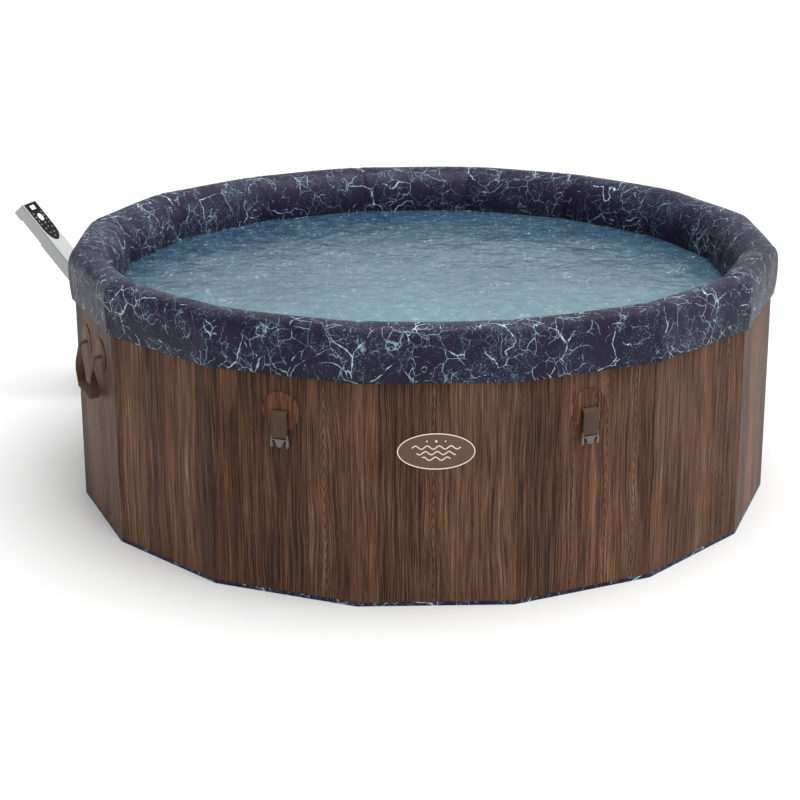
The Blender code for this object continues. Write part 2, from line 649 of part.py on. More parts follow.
def make_pump_shells(pump_frame):
    split = PUMP_FLAT + PUMP_SPLIT
    far_face = PUMP_FLAT + PUMP_DEPTH
    tub_half = shell_half("pump_tub_side_shell", PUMP_FLAT, split, "pump_plastic", pump_frame)
    for name, port, radius in PORTS:
        add_spigot(tub_half, name, port, radius, pump_frame)
    hollow_half(tub_half, PUMP_FLAT + PUMP_WALL, split + OVERCUT, pump_frame)
    bores = bpy.data.collections.new("spigot_bores")
    cutters.children.link(bores)
    for name, port, radius in PORTS:
        bores.objects.link(bore(name + "_spigot_bore", pump_frame, *port, radius - TUBE_WALL,
                                JOINT_FLAT - OVERCUT, PUMP_FLAT + 2 * OVERCUT))
    through = tub_half.modifiers.new("spigot_bores", "BOOLEAN")
    through.operand_type = "COLLECTION"
    through.collection = bores
    outer_half = shell_half("pump_outer_shell", split + GAP, far_face, "pump_plastic", pump_frame)
    hollow_half(outer_half, split - OVERCUT, far_face - PUMP_WALL, pump_frame)
    add_vents(outer_half, pump_frame)


def add_spigot(shell, name, port, radius, pump_frame):
    """A flanged pipe on the case that meets the tub's fitting."""
    start = JOINT_FLAT + GAP / 2
    end = PUMP_FLAT + PUMP_WALL * 2
    flange = radius + FLANGE_LIP
    line = [(0.0, end), (radius, end), (radius, start + FLANGE_THICKNESS - GAP)]
    line += [(flange, start + FLANGE_THICKNESS - GAP), (flange, start), (0.0, start)]
    pipe = turned(name + "_spigot", line, None, False, 16, cutters, parent=pump_frame,
                  at=(port[0], 0.0, port[1]), turn=OUTWARD)
    cut(shell, hide_cutter(pipe), "UNION")


def add_vents(shell, pump_frame):
    """Air slots in the outer face."""
    face = PUMP_FLAT + PUMP_DEPTH
    middle = PUMP_LEFT + PUMP_WIDTH / 2
    for i in range(VENTS):
        height = VENT_START + VENT_PITCH * i
        low = (middle - VENT_WIDTH / 2, -face - OVERCUT, height)
        high = (middle + VENT_WIDTH / 2, -face + OVERCUT, height + VENT_HEIGHT)
        slot = block(f"vent_{i}", low, high, None, group=cutters, parent=pump_frame)
        cut(shell, hide_cutter(slot))


def make_pump_base(pump_frame):
    low = (PUMP_LEFT - PUMP_BASE_LIP, -PUMP_FLAT - PUMP_DEPTH - PUMP_BASE_LIP)
    high = (ARM_PIVOT_ALONG + POST_RADIUS + 2 * PUMP_BASE_LIP, -PUMP_FLAT)
    plate("pump_base", [rounded_rectangle(low, high, PUMP_CORNER, 4)], PUMP_BASE_HEIGHT, "dark_plastic",
          pump_frame, (0.0, 0.0, PUMP_BASE_HEIGHT / 2))


def make_post(pump_frame):
    low = PUMP_BASE_HEIGHT + GAP
    high = ARM_PIVOT_HEIGHT - COLLAR_HEIGHT
    inner = POST_RADIUS - 2 * ARM_WALL
    line = [(inner, high), (POST_RADIUS, high), (POST_RADIUS, low), (inner, low)]
    turned("arm_post", line, "pump_plastic", parent=pump_frame,
           at=(ARM_PIVOT_ALONG, -ARM_PIVOT_FLAT, 0.0))


def ring_cup(name, pump_frame, at, turn, radius, depth, motor, look):
    """A motor with a round open-ended housing on top of it, for a wheel to turn in."""
    inner = radius - CUP_WALL
    line = [(0.0, CUP_WALL), (inner, CUP_WALL), (inner, depth), (radius, depth), (radius, 0.0)]
    line += [(motor[0], 0.0), (motor[0], -motor[1]), (0.0, -motor[1])]
    turned(name, line, look, False, parent=pump_frame, at=at, turn=turn)


def bladed_wheel(name, pump_frame, at, turn, radius, thickness, blades, look):
    """A wheel with swept blades around a hub."""
    outline = []
    for i in range(blades):
        for share, reach in ((0.0, 0.40), (0.10, 1.0), (0.35, 1.0), (0.60, 0.40)):
            angle = 2 * math.pi * (i + share) / blades
            outline.append((radius * reach * math.cos(angle), radius * reach * math.sin(angle)))
    plate(name, [outline], thickness, look, pump_frame, at, turn)


def make_pump_inside(pump_frame):
    y = -PUMP_FLAT - MACHINE_DEPTH
    x, z = CIRCULATION_AT
    sideways = (0.0, 90.0, 0.0)
    upright = (0.0, 0.0, 0.0)
    ring_cup("circulation_pump", pump_frame, (x, y, z), sideways, CIRCULATION_RADIUS,
             CIRCULATION_CUP, CIRCULATION_MOTOR, "dark_plastic")
    bladed_wheel("pump_impeller", pump_frame, (x + IMPELLER_AT, y, z), sideways,
                 CIRCULATION_RADIUS - WHEEL_CLEARANCE, IMPELLER_THICKNESS, IMPELLER_BLADES, "pump_plastic")
    x, z = BLOWER_AT
    ring_cup("blower_housing", pump_frame, (x, y, z), upright, BLOWER_RADIUS,
             BLOWER_CUP, BLOWER_MOTOR, "dark_plastic")
    bladed_wheel("blower_fan", pump_frame, (x, y, z + FAN_AT), upright,
                 BLOWER_RADIUS - WHEEL_CLEARANCE, FAN_THICKNESS, FAN_BLADES, "pump_plastic")
    make_heater(pump_frame, sideways)
    make_board(pump_frame)
    make_gland(pump_frame)


def make_heater(pump_frame, turn):
    half = HEATER_LENGTH / 2
    bored = HEATER_RADIUS - HEATER_WALL
    line = [(bored, half), (HEATER_RADIUS, half), (HEATER_RADIUS, -half), (bored, -half)]
    depth, height = HEATER_AT
    turned("heater_tube", line, "steel", parent=pump_frame,
           at=(PUMP_LEFT + PUMP_WIDTH / 2, -PUMP_FLAT - depth, height), turn=turn)


def make_board(pump_frame):
    width, height, thickness = BOARD_SIZE
    middle = PUMP_LEFT + PUMP_WIDTH / 2
    face = -(PUMP_FLAT + PUMP_SPLIT - BOARD_BEHIND_SPLIT)
    block("circuit_board", (middle - width / 2, face, BOARD_HEIGHT),
          (middle + width / 2, face + thickness, BOARD_HEIGHT + height), "board", parent=pump_frame)


def make_gland(pump_frame):
    """Where the mains lead enters the case."""
    line = [(GLAND_BORE, GLAND_LENGTH), (GLAND_TIP, GLAND_LENGTH), (GLAND_RADIUS, GLAND_COLLAR)]
    line += [(GLAND_RADIUS, 0.0), (GLAND_BORE, 0.0)]
    from_side, height = GLAND_AT
    turned("cable_gland", line, "dark_plastic", steps=12, parent=pump_frame,
           at=(PUMP_LEFT + PUMP_WIDTH - from_side, -PUMP_FLAT - PUMP_DEPTH - GAP, height), turn=OUTWARD)


# ---- control arm -----------------------------------------------------------------------
def make_arm(pump_frame):
    swivel = axis_frame("arm_swivel_axis", pump_frame, (ARM_PIVOT_ALONG, -ARM_PIVOT_FLAT, 0.0),
                        (0.0, 0.0, ARM_TURN))
    tilted = axis_frame("arm_axis", swivel, (0.0, 0.0, ARM_PIVOT_HEIGHT), (ARM_LEAN, 0.0, 0.0))
    make_collar(swivel, tilted)
    make_arm_shell(tilted)
    make_arm_cover(tilted)
    make_control_panel(tilted)


def make_collar(swivel, tilted):
    """The turning foot of the arm, with a stub that the arm's shell slides over."""
    low = ARM_PIVOT_HEIGHT - COLLAR_HEIGHT + GAP
    crown = arc((0.0, ARM_PIVOT_HEIGHT - 0.010), (COLLAR_RADIUS, COLLAR_RADIUS * 0.9), 90, 0, 5)
    line = crown + [(COLLAR_RADIUS, low), (0.0, low)]
    collar = turned("arm_collar", line, "pump_plastic", False, parent=swivel)
    width = ARM_WIDTH / 2 - ARM_WALL - CLEARANCE
    back = -ARM_THICKNESS / 2 + ARM_FLOOR + CLEARANCE
    front = ARM_THICKNESS / 2 - ARM_COVER - CLEARANCE
    stub = block("arm_stub", (-width, back, 0.0), (width, front, ARM_SHOULDER + STUB_LENGTH), None,
                 group=cutters, parent=tilted)
    cut(collar, hide_cutter(stub), "UNION")
    neck = block("arm_neck", (-ARM_WIDTH / 2, -ARM_THICKNESS / 2, 0.0),
                 (ARM_WIDTH / 2, ARM_THICKNESS / 2, ARM_SHOULDER - GAP), None, group=cutters, parent=tilted)
    cut(collar, hide_cutter(neck), "UNION")


def make_arm_shell(tilted):
    half = ARM_WIDTH / 2
    back = -ARM_THICKNESS / 2
    front = ARM_THICKNESS / 2 - ARM_COVER - GAP
    shell = block("arm_shell", (-half, back, ARM_SHOULDER), (half, front, ARM_LENGTH), "arm_plastic",
                  0.002, parent=tilted)
    void = block("arm_void", (-half + ARM_WALL, back + ARM_FLOOR, ARM_SHOULDER - 0.010),
                 (half - ARM_WALL, front + 0.010, ARM_LENGTH - ARM_WALL), None, group=cutters, parent=tilted)
    cut(shell, hide_cutter(void))
    top = ARM_LENGTH - FINGER_RECESS_FROM_END
    recess = block("arm_finger_recess", (-half - 0.010, back - 0.010, top - FINGER_RECESS[0]),
                   (half + 0.010, back + FINGER_RECESS[1], top), None, group=cutters, parent=tilted)
    cut(shell, hide_cutter(recess))


def panel_outline(grow):
    """A tongue: square at the arm's end, rounded at the tip."""
    half = PANEL_WIDTH / 2 + grow
    top = ARM_LENGTH - PANEL_FROM_END + grow
    start = ARM_LENGTH - PANEL_FROM_END - PANEL_LENGTH + PANEL_TIP
    tip = arc((0.0, start), (half, PANEL_TIP + grow), 180, 360, 10)
    return [(half, top), (-half, top)] + tip


def make_arm_cover(tilted):
    half = ARM_WIDTH / 2
    front = ARM_THICKNESS / 2
    cover = block("arm_cover", (-half, front - ARM_COVER, ARM_SHOULDER), (half, front, ARM_LENGTH),
                  "arm_plastic", 0.001, parent=tilted)
    pocket = plate("panel_pocket", [panel_outline(CLEARANCE / 2)], 2 * PANEL_POCKET, None, tilted,
                   (0.0, front, 0.0), OUTWARD, cutters)
    cut(cover, hide_cutter(pocket))


def make_control_panel(tilted):
    seat = ARM_THICKNESS / 2 - PANEL_POCKET + GAP
    plate("control_panel", [panel_outline(0.0)], PANEL_THICKNESS, "panel_gloss", tilted,
          (0.0, seat + PANEL_THICKNESS / 2, 0.0), OUTWARD)


# ---- the whole tub ---------------------------------------------------------------------
def clear_scene():
    for item in list(bpy.data.objects):
        bpy.data.objects.remove(item)


def main():
    clear_scene()
    bpy.context.scene.collection.children.link(parts)
    bpy.context.scene.collection.children.link(cutters)
    pump_frame = panel_frame("pump_panel", PUMP_AZIMUTH)
    make_bottom()
    wrap = make_wrap()
    chamber = make_air_chamber()
    liner = make_liner()
    make_cuff()
    make_air_ring()
    make_badge()
    make_wall_openings(wrap, chamber, liner, pump_frame)
    make_filter(pump_frame)
    for number, azimuth in enumerate(BUCKLE_AZIMUTHS, 1):
        make_buckle(number, azimuth)
    for number, azimuth in enumerate(HANDLE_AZIMUTHS, 1):
        make_handle(number, azimuth)
    make_pump_base(pump_frame)
    make_pump_shells(pump_frame)
    make_post(pump_frame)
    make_pump_inside(pump_frame)
    make_arm(pump_frame)


main()
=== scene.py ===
"""Looks of the inflatable hot tub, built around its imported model.

Metres, +Z up, in the model's own frame: the origin is on the floor under the middle of the tub.
"Flat" is the distance from the tub's axis to the middle of a wall panel. Panel azimuths run
from -Y towards +X, and the panel with the badge faces -Y.
"""

import json
import math

import bmesh
import bpy
import numpy as np
from mathutils import Matrix, Vector, noise


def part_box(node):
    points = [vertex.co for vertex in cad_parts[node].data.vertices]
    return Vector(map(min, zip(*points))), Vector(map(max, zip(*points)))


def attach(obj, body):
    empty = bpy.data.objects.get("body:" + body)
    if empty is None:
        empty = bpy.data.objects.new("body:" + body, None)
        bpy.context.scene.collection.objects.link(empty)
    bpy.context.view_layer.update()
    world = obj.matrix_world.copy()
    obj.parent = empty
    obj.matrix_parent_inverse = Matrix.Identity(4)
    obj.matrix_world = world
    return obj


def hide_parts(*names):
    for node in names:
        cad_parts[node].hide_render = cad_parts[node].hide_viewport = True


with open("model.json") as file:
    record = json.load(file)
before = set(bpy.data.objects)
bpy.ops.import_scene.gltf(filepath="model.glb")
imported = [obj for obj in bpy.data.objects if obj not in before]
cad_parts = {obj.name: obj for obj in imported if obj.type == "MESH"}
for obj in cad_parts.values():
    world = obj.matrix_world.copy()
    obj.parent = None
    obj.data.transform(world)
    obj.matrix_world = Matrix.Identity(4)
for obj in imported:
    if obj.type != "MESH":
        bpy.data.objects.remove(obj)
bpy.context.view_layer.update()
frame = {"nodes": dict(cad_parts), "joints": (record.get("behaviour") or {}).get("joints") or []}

# ---- sizes that follow the model ---------------------------------------------------------
SIDES = 16
SIDE_STEP = 360.0 / SIDES
HALF_ANGLE = math.pi / SIDES
SEAM_AZIMUTH = 180.0            # the wrap's seam is on the panel at the back
OUTER_SHOULDER = 0.065          # height of the rim's outer rounding
INNER_SHOULDER = 0.105          # height of the rim's inner rounding
SKIN = 0.003
CHAMBER_INSET = 0.0045          # from the outside of the visible skins to the air chamber
CHAMBER_FOOT = 0.050            # below this the chamber's wall runs straight to its foot
PIPE_CLEARANCE = 0.001
WATER_PIPE_RADIUS = 0.026
AIR_PIPE_RADIUS = 0.018
PUMP_AZIMUTH = -135.0
PUMP_CORNER = 0.035
PUMP_WALL = 0.004
ARM_AZIMUTH = -110.7
ARM_LEAN = 41.2
ARM_LENGTH = 0.443
TOUCH = 0.0005                  # how near a level or radius counts as the same

# ---- soft forms --------------------------------------------------------------------------
COLUMNS_PER_SIDE = 32
WALL_ROWS = 26
WALL_BULGE = 0.0022
WALL_EDGE = 18.0                # degrees at which the wall's corners stay crisp
CUFF_EDGE = 60.0                # the rim's folds stay smooth up to here
HEM_ROUNDNESS = 0.02            # 0 follows the polygon of the wall and 1 is a circle
CREST_ROUNDNESS = 0.45
INNER_ROUNDNESS = 0.35
ROUNDING_POWER = 2.5            # how late on its way to the crest the outer side turns round
HEM_ROWS, SHOULDER_ROWS, CREST_ROWS, WATER_ROWS = 8, 12, 16, 8
CUFF_EASE = 0.003               # the filled cuff's side lies a little inside its CAD solid
HEM_TUCK = 0.005                # how far the cuff's side turns in towards its hem
SHOULDER_FULLNESS = 0.60        # 1 is an ellipse, less is squarer
CORNER_CREASE = (0.0018, 0.0040)    # how deep a corner folds in: crest, water side
PLEAT_SPACING = 0.120
PLEAT_DEPTH = 0.006
WATER_LEVEL = 0.575
WATER_DEPTH = 0.030
WATER_RINGS = 130


# ---- measuring the model -----------------------------------------------------------------
def cad_points(node, matrix=None):
    """A node's corners, in the row frame or in a local frame."""
    vertices = frame["nodes"][node].data.vertices
    points = np.empty(len(vertices) * 3)
    vertices.foreach_get("co", points)
    points = points.reshape(-1, 3)
    if matrix is None:
        return points
    inverse = np.array(matrix.inverted())
    return points @ inverse[:3, :3].T + inverse[:3, 3]


def local_box(node, matrix):
    points = cad_points(node, matrix)
    return Vector(points.min(axis=0)), Vector(points.max(axis=0))


def ring_flats(node, height):
    """Least and greatest flat distance of a ring-shaped node's corners at a height."""
    points = cad_points(node)
    level = points[np.abs(points[:, 2] - height) < TOUCH]
    flats = np.hypot(level[:, 0], level[:, 1]) * math.cos(HALF_ANGLE)
    return float(flats.min()), float(flats.max())


def panel_matrix(azimuth, along=0.0, flat=0.0, height=0.0):
    """Local X runs along the panel, local Y is up and local Z points out of the wall."""
    a = math.radians(azimuth)
    outward = Vector((math.sin(a), -math.cos(a), 0.0))
    across = Vector((math.cos(a), math.sin(a), 0.0))
    place = outward * flat + across * along + Vector((0.0, 0.0, height))
    turned = Matrix((across, Vector((0.0, 0.0, 1.0)), outward)).transposed()
    return Matrix.Translation(place) @ turned.to_4x4()


def joint(name):
    return next(j for j in frame["joints"] if j["name"] == name)


def swing_matrix(name):
    """The panel frame of a piece that swings about a level axis, with its origin on the axis."""
    found = joint(name)
    axis, place = found["axis"], Vector(found["pos_m"])
    azimuth = math.degrees(math.atan2(-axis[1], -axis[0]))
    matrix = panel_matrix(azimuth)
    matrix.translation = place
    return matrix


def azimuth_of(matrix):
    outward = matrix.to_3x3() @ Vector((0.0, 0.0, 1.0))
    return math.degrees(math.atan2(outward.x, -outward.y))


wrap_low, wrap_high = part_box("wood_wrap")
cuff_low, cuff_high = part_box("top_cuff")
WALL_LOW, WALL_HIGH = wrap_low.z, wrap_high.z
WALL_FLAT_LOW = ring_flats("wood_wrap", WALL_LOW)[1]
WALL_FLAT_HIGH = ring_flats("wood_wrap", WALL_HIGH)[1]
RIM_HEIGHT = cuff_high.z
CREST_FLAT = ring_flats("top_cuff", RIM_HEIGHT)[1]
INNER_HEM = cuff_low.z
INNER_FLAT = ring_flats("top_cuff", INNER_HEM)[0]
SIDE_FLAT = ring_flats("top_cuff", RIM_HEIGHT - OUTER_SHOULDER)[1] - CUFF_EASE
outer_levels = [p[2] for p in cad_points("top_cuff") if math.hypot(p[0], p[1]) > WALL_FLAT_LOW]
CUFF_HEM = min(outer_levels)
PANEL_WIDTH = 2 * WALL_FLAT_LOW * math.tan(HALF_ANGLE)


# ---- meshes ------------------------------------------------------------------------------
def put(name, mesh):
    piece = bpy.data.objects.new(name, mesh)
    bpy.context.scene.collection.objects.link(piece)
    return piece


def shade(piece, angle=35.0):
    piece.data.shade_smooth()
    piece.data.set_sharp_from_angle(angle=math.radians(angle))
    return piece


def built(name, points, faces, angle=35.0):
    mesh = bpy.data.meshes.new(name)
    mesh.from_pydata([tuple(p) for p in points], [], faces)
    mesh.validate()
    return shade(put(name, mesh), angle)


def baked(piece, angle=35.0):
    """The piece with its modifiers applied to its mesh."""
    graph = bpy.context.evaluated_depsgraph_get()
    mesh = bpy.data.meshes.new_from_object(piece.evaluated_get(graph))
    piece.modifiers.clear()
    piece.data = mesh
    return shade(piece, angle)


def outward_faces(piece):
    solid = bmesh.new()
    solid.from_mesh(piece.data)
    bmesh.ops.remove_doubles(solid, verts=solid.verts, dist=0.00001)
    bmesh.ops.recalc_face_normals(solid, faces=solid.faces)
    solid.to_mesh(piece.data)
    solid.free()
    return piece


def loft(name, loops, matrix=None, ring=False, angle=35.0):
    """A skin through loops of equal count, capped at both ends or joined into a ring."""
    count = len(loops[0])
    points = [p for loop in loops for p in loop]
    if matrix is not None:
        points = [matrix @ Vector(p) for p in points]
    faces = []
    for i in range(len(loops) if ring else len(loops) - 1):
        here, there = i * count, (i + 1) % len(loops) * count
        for j in range(count):
            k = (j + 1) % count
            faces.append((here + j, here + k, there + k, there + j))
    if not ring:
        faces.append(tuple(reversed(range(count))))
        faces.append(tuple(range(len(points) - count, len(points))))
    return shade(outward_faces(built(name, points, faces)), angle)


def arc(centre, radii, start, end, steps):
    angles = [math.radians(start + (end - start) * i / steps) for i in range(steps + 1)]
    return [(centre[0] + radii[0] * math.cos(a), centre[1] + radii[1] * math.sin(a)) for a in angles]


def oval(width, height, steps=96):
    return arc((0.0, 0.0), (width / 2, height / 2), 0.0, 360.0 - 360.0 / steps, steps - 1)


def rounded_rectangle(low, high, radius, steps=8):
    (x0, y0), (x1, y1) = low, high
    r = (radius, radius)
    line = arc((x1 - radius, y1 - radius), r, 0, 90, steps)
    line += arc((x0 + radius, y1 - radius), r, 90, 180, steps)
    line += arc((x0 + radius, y0 + radius), r, 180, 270, steps)
    line += arc((x1 - radius, y0 + radius), r, 270, 360, steps)
    return line


def flat_piece(name, outlines, low, high, matrix, rounding=0.0004):
    """A plate in local XY between two levels of local Z, with rounded edges."""
    curve = bpy.data.curves.new(name + "_outline", "CURVE")
    curve.dimensions = "2D"
    curve.fill_mode = "BOTH"
    curve.extrude = (high - low) / 2 - rounding
    curve.bevel_depth = rounding
    curve.bevel_resolution = 2
    curve.offset = -rounding
    for outline in outlines:
        spline = curve.splines.new("POLY")
        spline.points.add(len(outline) - 1)
        for point, (x, y) in zip(spline.points, outline):
            point.co = (x, y, 0.0, 1.0)
        spline.use_cyclic_u = True
    drawn = put(name + "_outline", curve)
    shape = drawn.evaluated_get(bpy.context.evaluated_depsgraph_get())
    mesh = bpy.data.meshes.new_from_object(shape)
    bpy.data.objects.remove(drawn)
    mesh.materials.clear()
    mesh.transform(matrix @ Matrix.Translation((0.0, 0.0, (low + high) / 2)))
    return shade(outward_faces(put(name, mesh)))


def turned(name, line, matrix, steps=48, ribs=0, rib_depth=0.0, ribbed=(), angle=35.0):
    """A turned solid about local Z from a closed (radius, height) line that may start and end on
    the axis. The points whose numbers are in ribbed are fluted."""
    steps = max(steps, ribs * 4)
    loops = []
    for i, (radius, height) in enumerate(line):
        loop = []
        for j in range(steps):
            a = 2 * math.pi * j / steps
            r = radius
            if i in ribbed:
                r -= rib_depth * (0.5 + 0.5 * math.cos(a * ribs)) ** 2
            loop.append((max(r, 0.00002) * math.cos(a), max(r, 0.00002) * math.sin(a), height))
        loops.append(loop)
    on_axis = line[0][0] == 0.0
    return loft(name, loops, matrix, ring=not on_axis, angle=angle)


def ribbon(name, path, sides, width, thickness, matrix=None, around=4):
    """A strap of even width and thickness along a path, with round edges. UV map "print" holds
    metres across and along it."""
    path = [Vector(p) for p in path]
    half, round_by = width / 2, thickness / 2
    section = arc((half - round_by, 0.0), (round_by, round_by), -90, 90, around)
    section += arc((round_by - half, 0.0), (round_by, round_by), 90, 270, around)
    points, across, along = [], [], []
    run = 0.0
    for i, place in enumerate(path):
        before, after = path[max(i - 1, 0)], path[min(i + 1, len(path) - 1)]
        tangent = (after - before).normalized()
        side = Vector(sides[i] if isinstance(sides, list) else sides)
        side = (side - tangent * side.dot(tangent)).normalized()
        normal = tangent.cross(side)
        run += (place - before).length
        for x, y in section:
            points.append(place + side * x + normal * y)
            across.append(x)
            along.append(run)
    count = len(section)
    faces = []
    for i in range(len(path) - 1):
        for j in range(count):
            k = (j + 1) % count
            faces.append((i * count + j, i * count + k, (i + 1) * count + k, (i + 1) * count + j))
    faces.append(tuple(reversed(range(count))))
    faces.append(tuple(range(len(points) - count, len(points))))
    if matrix is not None:
        points = [matrix @ p for p in points]
    piece = built(name, points, faces)
    outward_faces(piece)
    layer = piece.data.uv_layers.new(name="print")
    for loop in piece.data.loops:
        layer.data[loop.index].uv = (across[loop.vertex_index], along[loop.vertex_index])
    return shade(piece, 50.0)


def cut(piece, cutters, angle=35.0):
    """Cuts holes and removes their cutters."""
    for i, cutter in enumerate(cutters):
        step = piece.modifiers.new(f"hole_{i}", "BOOLEAN")
        step.operation = "DIFFERENCE"
        step.solver = "EXACT"
        step.object = cutter
    baked(piece, angle)
    for cutter in cutters:
        bpy.data.objects.remove(cutter)


def rod(name, matrix, radius, low, high, steps=48):
    """A round cutter along local Z."""
    solid = bmesh.new()
    depth = high - low
    bmesh.ops.create_cone(solid, cap_ends=True, segments=steps, radius1=radius, radius2=radius,
                          depth=depth)
    bmesh.ops.translate(solid, vec=(0.0, 0.0, (low + high) / 2), verts=solid.verts)
    mesh = bpy.data.meshes.new(name)
    solid.to_mesh(mesh)
    solid.free()
    mesh.transform(matrix)
    return put(name, mesh)


def dress(piece, body, slot, look, *replaced):
    piece.data.materials.clear()
    piece.data.materials.append(look)
    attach(piece, body)
    if replaced:
        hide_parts(*replaced)
    return piece


# ---- materials ---------------------------------------------------------------------------
class Nodes:
    """A node tree that is filled by short calls. Each call returns an output socket."""

    def __init__(self, tree):
        self.tree = tree

    def add(self, kind, inputs, output=0, **settings):
        node = self.tree.nodes.new("ShaderNode" + kind)
        for key, value in settings.items():
            setattr(node, key, value)
        for key, value in inputs.items():
            self.feed(node.inputs[key], value)
        return node.outputs[output]

    def feed(self, socket, value):
        if isinstance(value, bpy.types.NodeSocket):
            self.tree.links.new(value, socket)
        else:
            socket.default_value = value

    def math(self, operation, *values):
        return self.add("Math", dict(enumerate(values)), operation=operation)

    def times(self, a, b):
        return self.math("MULTIPLY", a, b)

    def plus(self, a, b):
        return self.math("ADD", a, b)

    def minus(self, a, b):
        return self.math("SUBTRACT", a, b)

    def fused(self, a, b, c):
        """a times b, plus c"""
        return self.math("MULTIPLY_ADD", a, b, c)

    def split(self, place):
        node = self.tree.nodes.new("ShaderNodeSeparateXYZ")
        self.feed(node.inputs[0], place)
        return tuple(node.outputs)

    def vector(self, x=0.0, y=0.0, z=0.0):
        return self.add("CombineXYZ", {0: x, 1: y, 2: z})

    def object_place(self):
        return self.add("TexCoord", {}, "Object")

    def print_place(self):
        """Metres across and along a printed or woven piece."""
        return self.split(self.add("UVMap", {}, uv_map="print"))[:2]

    def scaled(self, place, factors):
        return self.add("VectorMath", {0: place, 1: factors}, operation="MULTIPLY")

    def moved(self, place, shift):
        return self.add("VectorMath", {0: place, 1: shift}, operation="ADD")

    def noise(self, place, scale=1.0, detail=2.0, roughness=0.5, distortion=0.0, output="Fac"):
        inputs = {"Vector": place, "Scale": scale, "Detail": detail, "Roughness": roughness,
                  "Distortion": distortion}
        return self.add("TexNoise", inputs, output)

    def warped(self, place, scale, amount, detail=2.0):
        colour = self.noise(place, scale, detail, output="Color")
        centred = self.add("VectorMath", {0: colour, 1: (0.5, 0.5, 0.5)}, operation="SUBTRACT")
        return self.moved(place, self.add("VectorMath", {0: centred, 3: amount}, operation="SCALE"))

    def cells(self, place, scale, feature="F1", output="Distance"):
        return self.add("TexVoronoi", {"Vector": place, "Scale": scale}, output, feature=feature)

    def span(self, value, low, high, to_low=0.0, to_high=1.0, smooth=False):
        inputs = {"Value": value, "From Min": low, "From Max": high, "To Min": to_low,
                  "To Max": to_high}
        kind = "SMOOTHSTEP" if smooth else "LINEAR"
        return self.add("MapRange", inputs, interpolation_type=kind)

    def mix(self, factor, a, b, blend="MIX"):
        node = self.tree.nodes.new("ShaderNodeMix")
        node.data_type = "RGBA"
        node.blend_type = blend
        for index, value in ((0, factor), (6, a), (7, b)):
            if isinstance(value, tuple):
                value = (*value, 1.0)
            self.feed(node.inputs[index], value)
        return node.outputs[2]

    def ramp(self, value, stops):
        node = self.tree.nodes.new("ShaderNodeValToRGB")
        self.feed(node.inputs[0], value)
        while len(node.color_ramp.elements) < len(stops):
            node.color_ramp.elements.new(0.5)
        for element, (place, colour) in zip(node.color_ramp.elements, stops):
            element.position = place
            element.color = (*colour, 1.0)
        return node.outputs[0]


class Look(Nodes):
    """A material. Its keywords are values of the shader's sockets, with _ for a space."""

    def __init__(self, name, **sockets):
        self.material = bpy.data.materials.new(name)
        self.material.use_nodes = True
        super().__init__(self.material.node_tree)
        self.shader = self.tree.nodes["Principled BSDF"]
        for key, value in sockets.items():
            self.shader.inputs[key.replace("_", " ")].default_value = value

    def set(self, name, value):
        self.feed(self.shader.inputs[name], value)

    def bump(self, height, strength, distance):
        normal = self.add("Bump", {"Height": height, "Strength": strength, "Distance": distance})
        self.set("Normal", normal)


PLANKS_PER_METRE = 11.5
WOOD_STOPS = ((0.0, (0.013, 0.006, 0.004)), (0.30, (0.036, 0.018, 0.012)),
              (0.55, (0.095, 0.044, 0.025)), (0.80, (0.163, 0.081, 0.048)),
              (1.0, (0.255, 0.145, 0.092)))
LOW_KNOT, KNOT_SPREAD = 0.08, 0.40      # metres up the wall where arched grain turns
ARCH_PITCH = 34.0                       # arched lines in a metre of height


